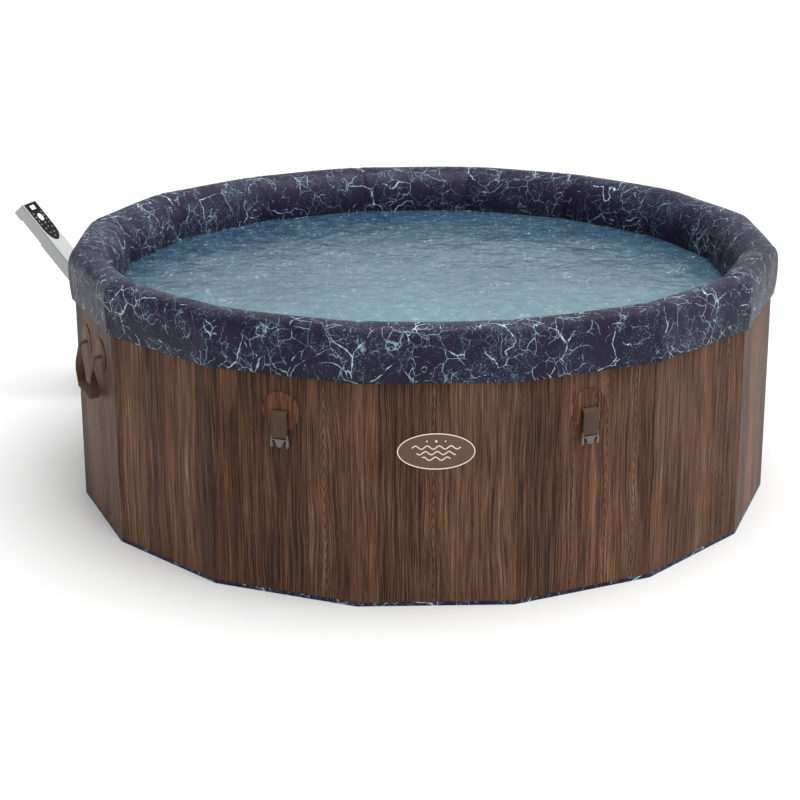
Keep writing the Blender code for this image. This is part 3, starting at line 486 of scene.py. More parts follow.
def wood_look(name, redden=0.0):
    """Wood printed on vinyl: planks of even grain with a few arched ones, from the print map."""
    look = Look(name, Roughness=0.5, Specular_IOR_Level=0.12)
    u, v = look.print_place()

    def spot(across, along, turn=0.0):
        return look.vector(look.times(u, across), look.times(v, along), turn)

    drift = look.noise(look.vector(look.times(u, 4.0)), 1.0, 1.0)
    plank = look.fused(drift, 2.4, look.times(u, PLANKS_PER_METRE))
    number = look.math("FLOOR", plank)
    place = look.minus(look.math("FRACT", plank), 0.5)
    from_middle = look.math("ABSOLUTE", place)
    tint, knot, arching, greying = (
        look.add("TexWhiteNoise", {"W": look.plus(number, shift)}, noise_dimensions="1D")
        for shift in (0.13, 31.7, 57.1, 83.9))
    sway = look.times(look.minus(look.noise(spot(6.0, 3.0, number), 1.0, 2.0), 0.5), 0.03)
    swayed = look.plus(u, sway)

    def grain(across, along, detail, roughness=0.6):
        at = look.vector(look.times(swayed, across), look.times(v, along), number)
        return look.minus(look.noise(at, 1.0, detail, roughness), 0.5)

    fine = grain(330.0, 6.0, 3.0, 0.7)
    medium = grain(140.0, 2.2, 2.0)
    coarse = grain(28.0, 1.1, 2.0)
    pores = look.span(grain(900.0, 45.0, 1.0), 0.12, 0.26)
    cloud = look.minus(look.noise(spot(5.0, 5.0), 1.0, 3.0), 0.5)
    rise = look.math("ABSOLUTE", look.minus(v, look.fused(knot, KNOT_SPREAD, LOW_KNOT)))
    lean = look.math("POWER", from_middle, 1.35)
    wobble = look.noise(spot(25.0, 9.0), 1.0, 2.0)
    arches = look.fused(rise, ARCH_PITCH, look.times(lean, 26.0))
    arches = look.plus(arches, look.times(wobble, 1.8))
    waves = look.math("ABSOLUTE", look.math("SINE", look.times(arches, math.pi)))
    lines = look.math("POWER", waves, 0.7)
    reach = look.span(from_middle, 0.30, 0.48, 1.0, 0.0)
    figure = look.times(look.minus(0.75, lines), look.times(look.span(arching, 0.60, 0.64), reach))
    groove = look.span(from_middle, 0.470, 0.498)
    tone = look.fused(tint, 0.26, 0.40)
    for part, share in ((fine, 1.70), (medium, 1.00), (coarse, 0.42), (cloud, 0.24),
                        (figure, -0.36), (pores, -0.20), (groove, -0.12)):
        tone = look.fused(part, share, tone)
    colour = look.ramp(tone, WOOD_STOPS)
    grey = look.times(look.span(greying, 0.35, 1.0), 0.34)
    colour = look.mix(grey, colour, look.mix(1.0, colour, (0.80, 0.92, 1.05), "MULTIPLY"))
    if redden:
        colour = look.mix(1.0, colour, (1.0 + redden, 1.0, 1.0 - redden), "MULTIPLY")
    look.set("Base Color", colour)
    look.set("Roughness", look.span(fine, -0.3, 0.3, 0.58, 0.46))
    look.bump(look.fused(pores, -0.6, fine), 0.25, 0.0006)
    return look.material


def marble_look(name):
    """Veined stone printed on vinyl."""
    look = Look(name, Specular_IOR_Level=0.16)
    place = look.object_place()
    bent = look.warped(look.warped(place, 4.0, 0.16, 2.0), 24.0, 0.030, 3.0)
    fine_bent = look.warped(look.warped(place, 9.0, 0.07, 2.0), 45.0, 0.016, 2.0)
    breaks = look.span(look.noise(place, 85.0, 3.0, 0.7), 0.36, 0.50, 0.25, 1.0)

    def veins(at, shift, scale, thinnest, thickest, start):
        """Broken lines: their width and strength follow one cloud, so they fade out."""
        strength = look.noise(look.moved(place, shift), 11.0, 4.0, 0.70)
        edge = look.cells(look.moved(at, shift), scale, "DISTANCE_TO_EDGE")
        width = look.span(strength, start, start + 0.22, thinnest * scale, thickest * scale)
        line = look.span(look.math("DIVIDE", edge, width), 0.30, 1.0, 1.0, 0.0)
        line = look.times(line, breaks)
        return look.times(line, look.span(strength, start - 0.01, start + 0.04))

    bold = veins(bent, (0.0, 0.0, 0.0), 8.5, 0.0005, 0.0023, 0.50)
    slim = veins(fine_bent, (3.1, 1.7, 5.3), 15.0, 0.0005, 0.0016, 0.485)
    dashes = veins(fine_bent, (8.3, 0.7, 2.9), 24.0, 0.0004, 0.0015, 0.54)
    hair = veins(fine_bent, (6.3, 4.7, 0.9), 38.0, 0.0004, 0.0011, 0.505)
    near = look.noise(look.moved(place, (7.7, 2.9, 1.1)), 8.0, 4.0, 0.65)
    crumbs = look.span(look.noise(place, 230.0, 2.0, 0.6), 0.57, 0.65)
    crumbs = look.times(crumbs, look.span(near, 0.46, 0.64))
    mottle = look.span(look.noise(place, 90.0, 3.0, 0.7), 0.40, 0.70)
    haze = look.times(look.span(near, 0.48, 0.70), mottle)
    base = look.mix(look.noise(place, 11.0, 4.0, 0.6), (0.008, 0.005, 0.019), (0.017, 0.013, 0.035))
    for vein, share, colour in ((haze, 0.45, (0.036, 0.062, 0.095)),
                                (crumbs, 0.75, (0.170, 0.250, 0.310)),
                                (hair, 0.60, (0.170, 0.250, 0.310)),
                                (slim, 0.85, (0.270, 0.380, 0.440)),
                                (dashes, 0.85, (0.360, 0.480, 0.530)),
                                (bold, 1.0, (0.460, 0.600, 0.650))):
        base = look.mix(look.times(vein, share), base, colour)
    look.set("Base Color", base)
    look.set("Roughness", look.span(look.noise(place, 30.0, 2.0), 0.3, 0.7, 0.42, 0.54))
    look.bump(look.noise(place, 260.0, 2.0, 0.6), 0.12, 0.0006)
    return look.material


def water_look():
    """Bubbling water, paler where it churns, with painted shade and reflection that darken it towards the
    back and the sides.
    """
    look = Look("water", Roughness=0.16, IOR=1.333, Specular_IOR_Level=0.5)
    place = look.object_place()
    bent = look.warped(place, 9.0, 0.05, 2.0)
    broad = look.noise(place, 4.5, 3.0, 0.6)
    churn = look.noise(bent, 26.0, 5.0, 0.62)
    flecks = look.noise(bent, 105.0, 4.0, 0.7)
    x, y, _ = look.split(place)
    # Painted shade and reflection: the water darkens towards the back (+Y) and towards the left and right
    # walls, blended with random patches of tone.
    side_shade = look.span(look.math("ABSOLUTE", look.minus(x, 0.08)), 0.28, 0.92, 0.0, 0.52)
    shade_and_patch_level = look.fused(look.minus(broad, 0.5), 1.1, look.plus(y, side_shade))
    shade_and_patches = look.span(shade_and_patch_level, -0.75, 0.90)
    colour = look.mix(shade_and_patches, (0.078, 0.178, 0.218), (0.010, 0.032, 0.068))
    # The paler churned water carries the same painted shade.
    shaded_froth = look.mix(shade_and_patches, (0.115, 0.230, 0.270), (0.034, 0.078, 0.125))
    colour = look.mix(look.span(churn, 0.35, 0.70), colour, shaded_froth)
    foam = look.times(look.span(flecks, 0.57, 0.68), look.span(churn, 0.42, 0.60))
    colour = look.mix(look.times(foam, 0.8), colour, (0.380, 0.470, 0.510))
    rings = look.span(look.cells(bent, 55.0, "F1"), 0.30, 0.36, 1.0, 0.0)
    ringed = look.times(rings, look.span(look.noise(place, 14.0, 2.0), 0.56, 0.66))
    colour = look.mix(look.times(ringed, 0.5), colour, (0.320, 0.410, 0.450))
    look.set("Base Color", colour)
    look.set("Roughness", look.span(foam, 0.0, 1.0, 0.14, 0.45))
    height = look.fused(flecks, 0.5, churn)
    look.bump(height, 0.22, 0.006)
    return look.material


def plastic_look(name, colour, roughness=0.45, grain=0.15, mottle=0.06, scale=900.0):
    """Moulded plastic: a faint spark-eroded grain, and slight unevenness in tone and gloss."""
    look = Look(name, Specular_IOR_Level=0.5)
    place = look.object_place()
    cloud = look.noise(place, 14.0, 3.0, 0.6)
    darker = tuple(c * (1.0 - mottle) for c in colour)
    lighter = tuple(min(c * (1.0 + mottle), 1.0) for c in colour)
    look.set("Base Color", look.mix(cloud, darker, lighter))
    look.set("Roughness", look.span(look.noise(place, 45.0, 2.0), 0.3, 0.7, roughness - 0.04,
                                    roughness + 0.06))
    look.bump(look.noise(place, scale, 2.0), grain, 0.0003)
    return look.material


RIB_PITCH = 0.0022
TWILL_PITCH = 0.0016


def webbing_look():
    """Ribbed polypropylene webbing, from the print map."""
    look = Look("webbing", Specular_IOR_Level=0.15, Sheen_Weight=0.06, Sheen_Roughness=0.5)
    u, v = look.print_place()
    ribs = look.math("SINE", look.times(v, 2 * math.pi / RIB_PITCH))
    slant = look.plus(u, look.times(v, 0.5))
    twill = look.math("SINE", look.times(slant, 2 * math.pi / TWILL_PITCH))
    weave = look.fused(look.times(ribs, twill), 0.5, 0.5)
    fuzz = look.noise(look.vector(look.times(u, 300.0), look.times(v, 300.0)), 1.0, 3.0)
    colour = look.mix(weave, (0.044, 0.027, 0.017), (0.092, 0.058, 0.037))
    colour = look.mix(look.span(fuzz, 0.4, 0.8, 0.0, 0.5), colour, (0.110, 0.076, 0.052))
    look.set("Base Color", colour)
    look.set("Roughness", look.span(fuzz, 0.3, 0.7, 0.62, 0.80))
    look.bump(weave, 0.5, 0.0005)
    return look.material


def steel_look():
    """Drawn stainless tube."""
    look = Look("brushed_steel", Metallic=1.0)
    place = look.scaled(look.object_place(), (40.0, 40.0, 400.0))
    brushed = look.noise(place, 1.0, 3.0)
    look.set("Base Color", look.mix(brushed, (0.45, 0.45, 0.46), (0.62, 0.62, 0.63)))
    look.set("Roughness", look.span(brushed, 0.3, 0.7, 0.22, 0.38))
    return look.material


def board_look():
    """A green printed board with pale tracks."""
    look = Look("circuit_board", Roughness=0.35)
    tracks = look.cells(look.object_place(), 90.0, "DISTANCE_TO_EDGE")
    lines = look.span(tracks, 0.03, 0.06, 1.0, 0.0)
    look.set("Base Color", look.mix(lines, (0.010, 0.080, 0.035), (0.060, 0.200, 0.090)))
    look.bump(lines, 0.2, 0.0002)
    return look.material


def paper_look():
    """Pleated filter paper with fibres."""
    look = Look("filter_paper", Roughness=0.9)
    fibres = look.noise(look.scaled(look.object_place(), (250.0, 250.0, 900.0)), 1.0, 4.0, 0.7)
    look.set("Base Color", look.mix(fibres, (0.62, 0.66, 0.72), (0.84, 0.86, 0.90)))
    look.bump(fibres, 0.4, 0.0005)
    return look.material


def gloss_look():
    """Black printed glass-like membrane."""
    look = Look("panel_gloss", Specular_IOR_Level=0.08)
    smears = look.noise(look.object_place(), 60.0, 3.0, 0.6)
    look.set("Base Color", look.mix(smears, (0.003, 0.003, 0.004), (0.008, 0.008, 0.009)))
    look.set("Roughness", look.span(smears, 0.3, 0.7, 0.22, 0.34))
    return look.material


def air_cell_look():
    """Grey PVC laminate with its scrim showing."""
    look = Look("air_cell", Roughness=0.6)
    x, y, z = look.split(look.object_place())
    around = look.math("ARCTAN2", x, y)
    threads = look.times(look.math("SINE", look.times(around, 1800.0)),
                         look.math("SINE", look.times(z, 1900.0)))
    cover = look.span(threads, -1.0, 1.0)
    look.set("Base Color", look.mix(cover, (0.46, 0.47, 0.49), (0.58, 0.59, 0.61)))
    look.bump(threads, 0.3, 0.0003)
    return look.material


LOOKS = {
    "wood": wood_look("wood_print"),
    "patch": wood_look("wood_print_patch", 0.12),
    "marble": marble_look("marble_print"),
    "water": water_look(),
    "webbing": webbing_look(),
    "thread": plastic_look("thread", (0.060, 0.042, 0.034), 0.7),
    "buckle": plastic_look("buckle_plastic", (0.120, 0.100, 0.098), 0.38, 0.2),
    "badge": plastic_look("badge_brown", (0.105, 0.050, 0.026), 0.45, 0.3, 0.10),
    "cream": plastic_look("badge_cream", (0.780, 0.690, 0.590), 0.45, 0.1),
    "pump": plastic_look("pump_plastic", (0.300, 0.305, 0.315), 0.50, 0.5, 0.04),
    "arm": plastic_look("arm_plastic", (0.430, 0.435, 0.440), 0.40, 0.25, 0.03),
    "dark": plastic_look("dark_plastic", (0.045, 0.046, 0.050), 0.50, 0.5, 0.10),
    "fitting": plastic_look("fitting_plastic", (0.600, 0.610, 0.620), 0.42, 0.3, 0.04),
    "icon": plastic_look("panel_icons", (0.360, 0.365, 0.370), 0.50, 0.05),
    "display": plastic_look("panel_display", (0.880, 0.890, 0.900), 0.30, 0.05, 0.02),
    "gloss": gloss_look(),
    "steel": steel_look(),
    "board": board_look(),
    "paper": paper_look(),
    "air_cell": air_cell_look(),
}


# ---- the tub's skins ---------------------------------------------------------------------
def ring_columns():
    """Places around the tub: side, share of the half panel, and metres around from the seam."""
    columns = []
    for number in range(SIDES):
        for i in range(COLUMNS_PER_SIDE):
            even = -1.0 + 2.0 * i / COLUMNS_PER_SIDE
            share = 0.30 * even + 0.70 * math.sin(even * math.pi / 2)
            columns.append((number, share, (number + (share + 1.0) / 2) * PANEL_WIDTH))
    return columns


def ring_place(column, flat, height, roundness=0.0):
    number, share, _ = column
    turn = math.atan(share * math.tan(HALF_ANGLE))
    straight = flat / math.cos(turn)
    level = flat * (1.0 + 1.0 / math.cos(HALF_ANGLE)) / 2
    radius = straight + (level - straight) * roundness
    angle = math.radians(SEAM_AZIMUTH + number * SIDE_STEP) + turn
    return Vector((radius * math.sin(angle), -radius * math.cos(angle), height))


def wall_place(column, height, inset=0.0):
    """A point of the wall: each panel swells a little between its crisp corners."""
    _, share, around = column
    rise = (height - WALL_LOW) / (WALL_HIGH - WALL_LOW)
    flat = WALL_FLAT_LOW + (WALL_FLAT_HIGH - WALL_FLAT_LOW) * rise
    swell = WALL_BULGE * (1.0 - share * share) * math.sin(math.pi * min(max(rise, 0.0), 1.0))
    ripple = noise.noise(Vector((around * 5.0, height * 3.0, 1.7))) * 0.0006
    return ring_place(column, flat + swell + ripple * (1.0 - share ** 4) - inset, height)


def grid_ring(name, columns, rows, angle):
    """An open ring skin from rows of points, with the print map in metres."""
    count = len(columns)
    around = [c[2] for c in columns] + [SIDES * PANEL_WIDTH]
    points = [p for row in rows for p in row]
    faces, uvs = [], []
    for i in range(len(rows) - 1):
        for j in range(count):
            k = (j + 1) % count
            faces.append((i * count + j, i * count + k, (i + 1) * count + k, (i + 1) * count + j))
            low, high = rows[i][j].z, rows[i + 1][j].z
            uvs += [(around[j], low), (around[j + 1], low), (around[j + 1], high), (around[j], high)]
    piece = built(name, points, faces, angle)
    layer = piece.data.uv_layers.new(name="print")
    for loop, uv in zip(layer.data, uvs):
        loop.uv = uv
    return piece


def thickened(piece, thickness, angle):
    step = piece.modifiers.new("skin", "SOLIDIFY")
    step.thickness = thickness
    step.offset = -1.0
    step.use_even_offset = True
    return baked(piece, angle)


def make_wrap(columns):
    levels = [WALL_LOW + (WALL_HIGH - WALL_LOW) * i / WALL_ROWS for i in range(WALL_ROWS + 1)]
    rows = [[wall_place(c, z) for c in columns] for z in levels]
    wrap = grid_ring("wall_wrap", columns, rows, WALL_EDGE)
    thickened(wrap, SKIN, WALL_EDGE)
    cut(wrap, wall_holes(), WALL_EDGE)
    dress(wrap, "root", "wood_vinyl", LOOKS["wood"], "wood_wrap")


def wall_holes():
    """Cutters for the pump's three pipes and the two valves."""
    holes = []
    for node, radius in (("inlet_fitting", WATER_PIPE_RADIUS), ("outlet_fitting", WATER_PIPE_RADIUS),
                         ("air_fitting", AIR_PIPE_RADIUS)):
        holes.append(hole_along(node, panel_matrix(PUMP_AZIMUTH), radius))
    for name in ("drain", "inflation"):
        node, place = name + "_valve", joint(name + "_cap_turn")["pos_m"]
        matrix = panel_matrix(math.degrees(math.atan2(place[0], -place[1])))
        points = cad_points(node, matrix)
        neck = points[points[:, 2] < WALL_FLAT_LOW - 0.020]
        holes.append(hole_along(node, matrix, (neck[:, 0].max() - neck[:, 0].min()) / 2))
    return holes


def hole_along(node, matrix, radius):
    low, high = local_box(node, matrix)
    centre = matrix @ Matrix.Translation(((low.x + high.x) / 2, (low.y + high.y) / 2, 0.0))
    return rod(node + "_hole", centre, radius + PIPE_CLEARANCE, low.z - 0.010, WALL_FLAT_LOW + 0.020)


def rim_section(inset=0.0):
    """The cuff's section from its outer hem over the crest to its inner hem: flat, height,
    roundness, share of crest and share of water side."""
    section = []
    start = RIM_HEIGHT - OUTER_SHOULDER
    for i in range(HEM_ROWS):
        share = i / HEM_ROWS
        height = CUFF_HEM + (start - CUFF_HEM) * share
        flat = SIDE_FLAT - HEM_TUCK * (1.0 - math.sin(share * math.pi / 2)) - inset
        section.append((flat, height, HEM_ROUNDNESS * share, 0.0, 0.0))
    wide, tall = SIDE_FLAT - CREST_FLAT - inset, OUTER_SHOULDER - inset
    for i in range(SHOULDER_ROWS + 1):
        share = i / SHOULDER_ROWS
        a = math.pi / 2 * share
        flat = CREST_FLAT + wide * max(math.cos(a), 0.0) ** SHOULDER_FULLNESS
        height = start + tall * math.sin(a) ** SHOULDER_FULLNESS
        roundness = HEM_ROUNDNESS + (CREST_ROUNDNESS - HEM_ROUNDNESS) * share ** ROUNDING_POWER
        section.append((flat, height, roundness, share, 0.0))
    radii = (CREST_FLAT - INNER_FLAT - inset, INNER_SHOULDER - inset)
    low = RIM_HEIGHT - INNER_SHOULDER
    for i, (flat, height) in enumerate(arc((CREST_FLAT, low), radii, 90, 180, CREST_ROWS)[1:], 1):
        share = i / CREST_ROWS
        roundness = CREST_ROUNDNESS + (INNER_ROUNDNESS - CREST_ROUNDNESS) * share
        section.append((flat, height, roundness, 1.0 - share, share))
    for i in range(1, WATER_ROWS + 1):
        height = low + (INNER_HEM - low) * i / WATER_ROWS
        section.append((INNER_FLAT + inset, height, INNER_ROUNDNESS, 0.0, 1.0))
    return section


def section_normals(section):
    normals = []
    for i in range(len(section)):
        before, after = section[max(i - 1, 0)], section[min(i + 1, len(section) - 1)]
        along = Vector((after[0] - before[0], after[1] - before[1])).normalized()
        normals.append(Vector((along.y, -along.x)))
    return normals


CREASE_WIDTH = 0.012            # how far from a corner its crease and its gathers reach
GATHER_WIDTH = 0.060
RISE_LIMIT = 0.0008             # lumps lift the crest no more than this


def cuff_place(column, point, normal):
    """A point of the inflated rim, with its creases, pleats and lumps."""
    _, share, around = column
    flat, height, roundness, crest, water = point
    taut = max(crest, water)
    corner = (1.0 - abs(share)) * PANEL_WIDTH / 2
    fold = CORNER_CREASE[0] * crest + CORNER_CREASE[1] * water
    crease = math.exp(-((corner / CREASE_WIDTH) ** 2)) * fold
    near = math.exp(-((corner / GATHER_WIDTH) ** 2))
    gathers = noise.noise(Vector((around * 60.0, height * 7.0, 3.3))) * 0.0022 * near * (0.2 + taut)
    spot = Vector((around * 9.0, height * 9.0, flat * 9.0))
    lumps = noise.noise(spot * 0.5) * 0.0025 * (0.3 + 0.7 * taut)
    drift = 1.6 * noise.noise(Vector((around * 2.0, 5.0, 0.0)))
    phase = 2 * math.pi * around / PLEAT_SPACING + drift
    uneven = 0.75 + 0.5 * noise.noise(Vector((around * 4.0, 9.0, height)))
    pleat = (abs(math.sin(phase / 2)) ** 0.8 - 0.6) * PLEAT_DEPTH * water * uneven
    hem = noise.noise(Vector((around * 6.0, 2.2, 0.0))) * 0.0012 * (1.0 - taut)
    push = gathers + lumps + pleat + hem - crease
    rise = min(normal.y * push, RISE_LIMIT)
    return ring_place(column, flat + normal.x * push, height + rise, roundness)


def cuff_rows(columns, inset=0.0):
    section = rim_section(inset)
    normals = section_normals(section)
    return [[cuff_place(c, p, n) for c in columns] for p, n in zip(section, normals)]


def make_cuff(columns):
    cuff = grid_ring("rim_cuff", columns, cuff_rows(columns), CUFF_EDGE)
    thickened(cuff, SKIN, CUFF_EDGE)
    dress(cuff, "root", "marble_vinyl", LOOKS["marble"], "top_cuff")


def make_chamber(columns):
    """The air chamber under the skins, which follows them all round."""
    coarse = columns[::2]
    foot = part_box("air_chamber")[0].z
    inner_flat, outer_flat = ring_flats("air_chamber", foot)
    rows = [[ring_place(c, outer_flat, foot) for c in coarse]]
    levels = [CHAMBER_FOOT + (WALL_HIGH - CHAMBER_FOOT) * i / 10 for i in range(11)]
    rows += [[wall_place(c, z, CHAMBER_INSET) for c in coarse] for z in levels]
    for row in cuff_rows(coarse, CHAMBER_INSET):
        if row[0].z > WALL_HIGH or row[0].length < CREST_FLAT:
            rows.append(row)
    rows += [[ring_place(c, inner_flat, z) for c in coarse] for z in (INNER_HEM - 0.004, foot)]
    chamber = loft("air_chamber_skin", rows, ring=True, angle=40.0)
    cut(chamber, wall_holes(), 40.0)
    dress(chamber, "root", "air_cell", LOOKS["air_cell"], "air_chamber")


# ---- water -------------------------------------------------------------------------------
def make_water(columns):
    """Bubbling water up to the rim's inner skin, as a closed slab with a churned top."""
    section = rim_section()
    normals = section_normals(section)
    level = min((i for i, p in enumerate(section) if p[4] > 0.4),
                key=lambda i: abs(section[i][1] - WATER_LEVEL))
    rim = [cuff_place(c, section[level], normals[level]) for c in columns]
    rim = [Vector((p.x, p.y, 0.0)) * (1.0 + SKIN / 2 / INNER_FLAT) for p in rim]
    count = len(columns)
    points, faces = [Vector((0.0, 0.0, WATER_LEVEL + churn(0.0, 0.0)))], []
    for i in range(1, WATER_RINGS + 1):
        share = i / WATER_RINGS
        for edge in rim:
            place = edge * share
            height = WATER_LEVEL + churn(place.x, place.y) * (1.0 if share < 0.97 else 0.5)
            points.append(Vector((place.x, place.y, height)))
    faces += [(0, 1 + j, 1 + (j + 1) % count) for j in range(count)]
    for i in range(WATER_RINGS - 1):
        here, there = 1 + i * count, 1 + (i + 1) * count
        for j in range(count):
            k = (j + 1) % count
            faces.append((here + j, there + j, there + k, here + k))
    top = 1 + (WATER_RINGS - 1) * count
    bottom = len(points)
    points += [Vector((p.x, p.y, WATER_LEVEL - WATER_DEPTH)) for p in rim]
    for j in range(count):
        k = (j + 1) % count
        faces.append((top + j, bottom + j, bottom + k, top + k))
    faces.append(tuple(reversed(range(bottom, bottom + count))))
    water = outward_faces(built("water_surface", points, faces, 80.0))
    shade(water, 70.0)
    dress(water, "root", "marble_vinyl", LOOKS["water"])


def churn(x, y):
    """Height of the bubbling surface."""
    swirl = noise.noise(Vector((x * 4.0, y * 4.0, 0.5))) * 0.10
    height = noise.noise(Vector((x * 9.0 + swirl, y * 9.0, 2.0))) * 0.0030
    height += abs(noise.noise(Vector((x * 24.0, y * 24.0 + swirl, 4.0)))) * 0.0026
    height += abs(noise.noise(Vector((x * 55.0, y * 55.0, 7.0)))) * 0.0014
    return height


# ---- badge -------------------------------------------------------------------------------
BADGE_RING = 0.0026
PRINT = (-0.0002, 0.0006)       # from just under a face to the top of what is raised on it


def make_badge():
    low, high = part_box("badge")
    matrix = panel_matrix(0.0, (low.x + high.x) / 2, 0.0, (low.z + high.z) / 2)
    width, height = high.x - low.x, high.z - low.z
    back = WALL_FLAT_HIGH
    face = -low.y - 0.0006
    plate = flat_piece("badge_plate", [oval(width, height)], back, face, matrix, 0.0008)
    dress(plate, "root", "badge_print", LOOKS["badge"], "badge")
    inner = oval(width - 2 * BADGE_RING, height - 2 * BADGE_RING)
    ring = flat_piece("badge_ring", [oval(width, height), inner], face + PRINT[0], face + PRINT[1],
                      matrix, 0.0003)
    dress(ring, "root", "badge_print", LOOKS["cream"])
    make_badge_waves(matrix, face, width)


def make_badge_waves(matrix, face, width):
    """Three plain waves and a row of bubbles."""
    strokes = []
    count = 60
    for row, (reach, level) in enumerate(((0.62, 0.010), (0.50, -0.004), (0.36, -0.018))):
        line = []
        for i in range(count + 1):
            x = (i / count - 0.5) * width * reach
            line.append((x, level + 0.0040 * math.sin(2 * math.pi * x / 0.028 + row)))
        strokes.append(band(line, 0.0026))
    bubbles = [[(x + a, 0.0255 + b) for a, b in oval(size, size, 24)]
               for x, size in ((-0.022, 0.004), (0.0, 0.006), (0.022, 0.004))]
    waves = flat_piece("badge_waves", strokes + bubbles, face + PRINT[0], face + PRINT[1],
                       matrix, 0.0003)
    dress(waves, "root", "badge_print", LOOKS["cream"])


def band(line, width):
    """The outline of a stroke of even width along a line, with round ends."""
    left, right = [], []
    for i, point in enumerate(line):
        before, after = Vector(line[max(i - 1, 0)]), Vector(line[min(i + 1, len(line) - 1)])
        along = (after - before).normalized()
        side = Vector((-along.y, along.x)) * width / 2
        left.append(tuple(Vector(point) + side))
        right.append(tuple(Vector(point) - side))
    return left + right[::-1]


# ---- patches, buckles and handles --------------------------------------------------------
def print_map(piece, matrix, across=0, along=1, shift=0.0):
    """Maps two local axes into the print. A shift takes it away from what lies beside it."""
    layer = piece.data.uv_layers.new(name="print")
    inverse = matrix.inverted()
    for loop in piece.data.loops:
        local = inverse @ piece.data.vertices[loop.vertex_index].co
        layer.data[loop.index].uv = (local[across] + shift, local[along] + shift * 0.37)


def make_patch(node, azimuth, shift):
    """A welded disc with a slit."""
    matrix = panel_matrix(azimuth)
    low, high = local_box(node, matrix)
    centre = matrix @ Matrix.Translation(((low.x + high.x) / 2, (low.y + high.y) / 2, 0.0))
    diameter = high.x - low.x
    points = cad_points(node, centre)
    inner = points[np.hypot(points[:, 0], points[:, 1]) < diameter * 0.40]
    half_width, half_height = np.abs(inner[:, 0]).max(), np.abs(inner[:, 1]).max()
    slit = rounded_rectangle((-half_width, -half_height), (half_width, half_height),
                             half_height * 0.9, 4)
    disc = flat_piece(node + "_disc", [oval(diameter, diameter, 72), slit], low.z - 0.001, high.z,
                      centre, 0.0006)
    print_map(disc, centre, shift=shift)
    dress(disc, "root", "wood_vinyl", LOOKS["patch"], node)


BUCKLE_LAYER = 0.0016           # thickness of the strap
BUCKLE_BAR = 0.0030             # radius of the strap's turn around the plug's bar
BUCKLE_RISE = 0.008             # the loop around the bar takes up some of the strap's length
SLIT_START = [(0.0, -0.0035), (0.0005, -0.001)]     # height and depth of webbing in its slit


def make_buckle(number):
    matrix = swing_matrix(f"buckle_swing_{number}")
    body = f"buckle_{number}"
    strap_node, plug_node = f"buckle_strap_{number}", f"buckle_plug_{number}"
    make_patch(f"buckle_patch_{number}", azimuth_of(matrix), 0.61 * number)
    low, high = local_box(strap_node, matrix)
    width = high.x - low.x
    raised = Vector((0.0, BUCKLE_RISE, 0.0))
    plug_low, plug_high = (corner + raised for corner in local_box(plug_node, matrix))
    standoff = (plug_low.z + plug_high.z) / 2
    bar = plug_high.y - 0.0045
    fall = standoff * 0.62
    turn = (BUCKLE_BAR, BUCKLE_BAR)
    path = [(y, z) for y, z in SLIT_START]
    path += [(y, z) for z, y in arc((0.0, -fall), (standoff, fall), 90, 0, 8)]
    path += [(y, standoff + 0.0006 * math.sin(y * 60.0)) for y in np.linspace(-0.014, bar + 0.002, 10)]
    path += [(y, z) for z, y in arc((standoff - BUCKLE_BAR, bar), turn, 0, -180, 8)]
    path += [(y, standoff - 2 * BUCKLE_BAR + 0.0008) for y in np.linspace(bar + 0.004, -0.022, 7)]
    path = [(0.0, y, z) for y, z in path]
    strap = ribbon(f"strap_{number}", path, (1.0, 0.0, 0.0), width, BUCKLE_LAYER, matrix)
    dress(strap, body, "webbing", LOOKS["webbing"], strap_node)
    make_stitches(f"strap_stitches_{number}", matrix, body, width - 0.008, -0.030, bar + 0.012,
                  standoff + BUCKLE_LAYER / 2)
    make_plug(number, matrix, body, plug_low, plug_high, standoff, bar)


def make_stitches(name, matrix, body, width, top, bottom, level):
    """A sewn box with short raised stitches."""
    pitch, length, radius = 0.0032, 0.0024, 0.0004
    half = width / 2
    runs = (((-half, top), (half, top)), ((half, top), (half, bottom)),
            ((half, bottom), (-half, bottom)), ((-half, bottom), (-half, top)))
    points, faces = [], []
    for (x0, y0), (x1, y1) in runs:
        start, end = Vector((x0, y0, level)), Vector((x1, y1, level))
        along = (end - start).normalized()
        side = along.cross(Vector((0.0, 0.0, 1.0)))
        count = int((end - start).length / pitch)
        for i in range(count):
            middle = start + (end - start) * (i + 0.5) / count
            add_stitch(points, faces, middle, along * length / 2, side * radius,
                       Vector((0, 0, radius)))
    piece = built(name, [matrix @ p for p in points], faces, 80.0)
    dress(piece, body, "webbing", LOOKS["thread"])


def add_stitch(points, faces, middle, reach, side, up):
    """One thread: a closed spindle of three six-sided rings."""
    base = len(points)
    for share, girth in ((-1.0, 0.45), (0.0, 1.0), (1.0, 0.45)):
        for j in range(6):
            a = math.pi * j / 3
            points.append(middle + reach * share + (side * math.cos(a) + up * math.sin(a)) * girth)
    for ring in (0, 6):
        for j in range(6):
            k = (j + 1) % 6
            faces.append((base + ring + j, base + ring + k, base + ring + 6 + k, base + ring + 6 + j))
    faces.append(tuple(base + j for j in reversed(range(6))))
    faces.append(tuple(base + 12 + j for j in range(6)))


PLUG_THICKNESS = 0.0062
PLUG_HEAD = 0.0125              # height of the frame that holds the bar
PLUG_WALL = 0.0036              # beside the bar's slot


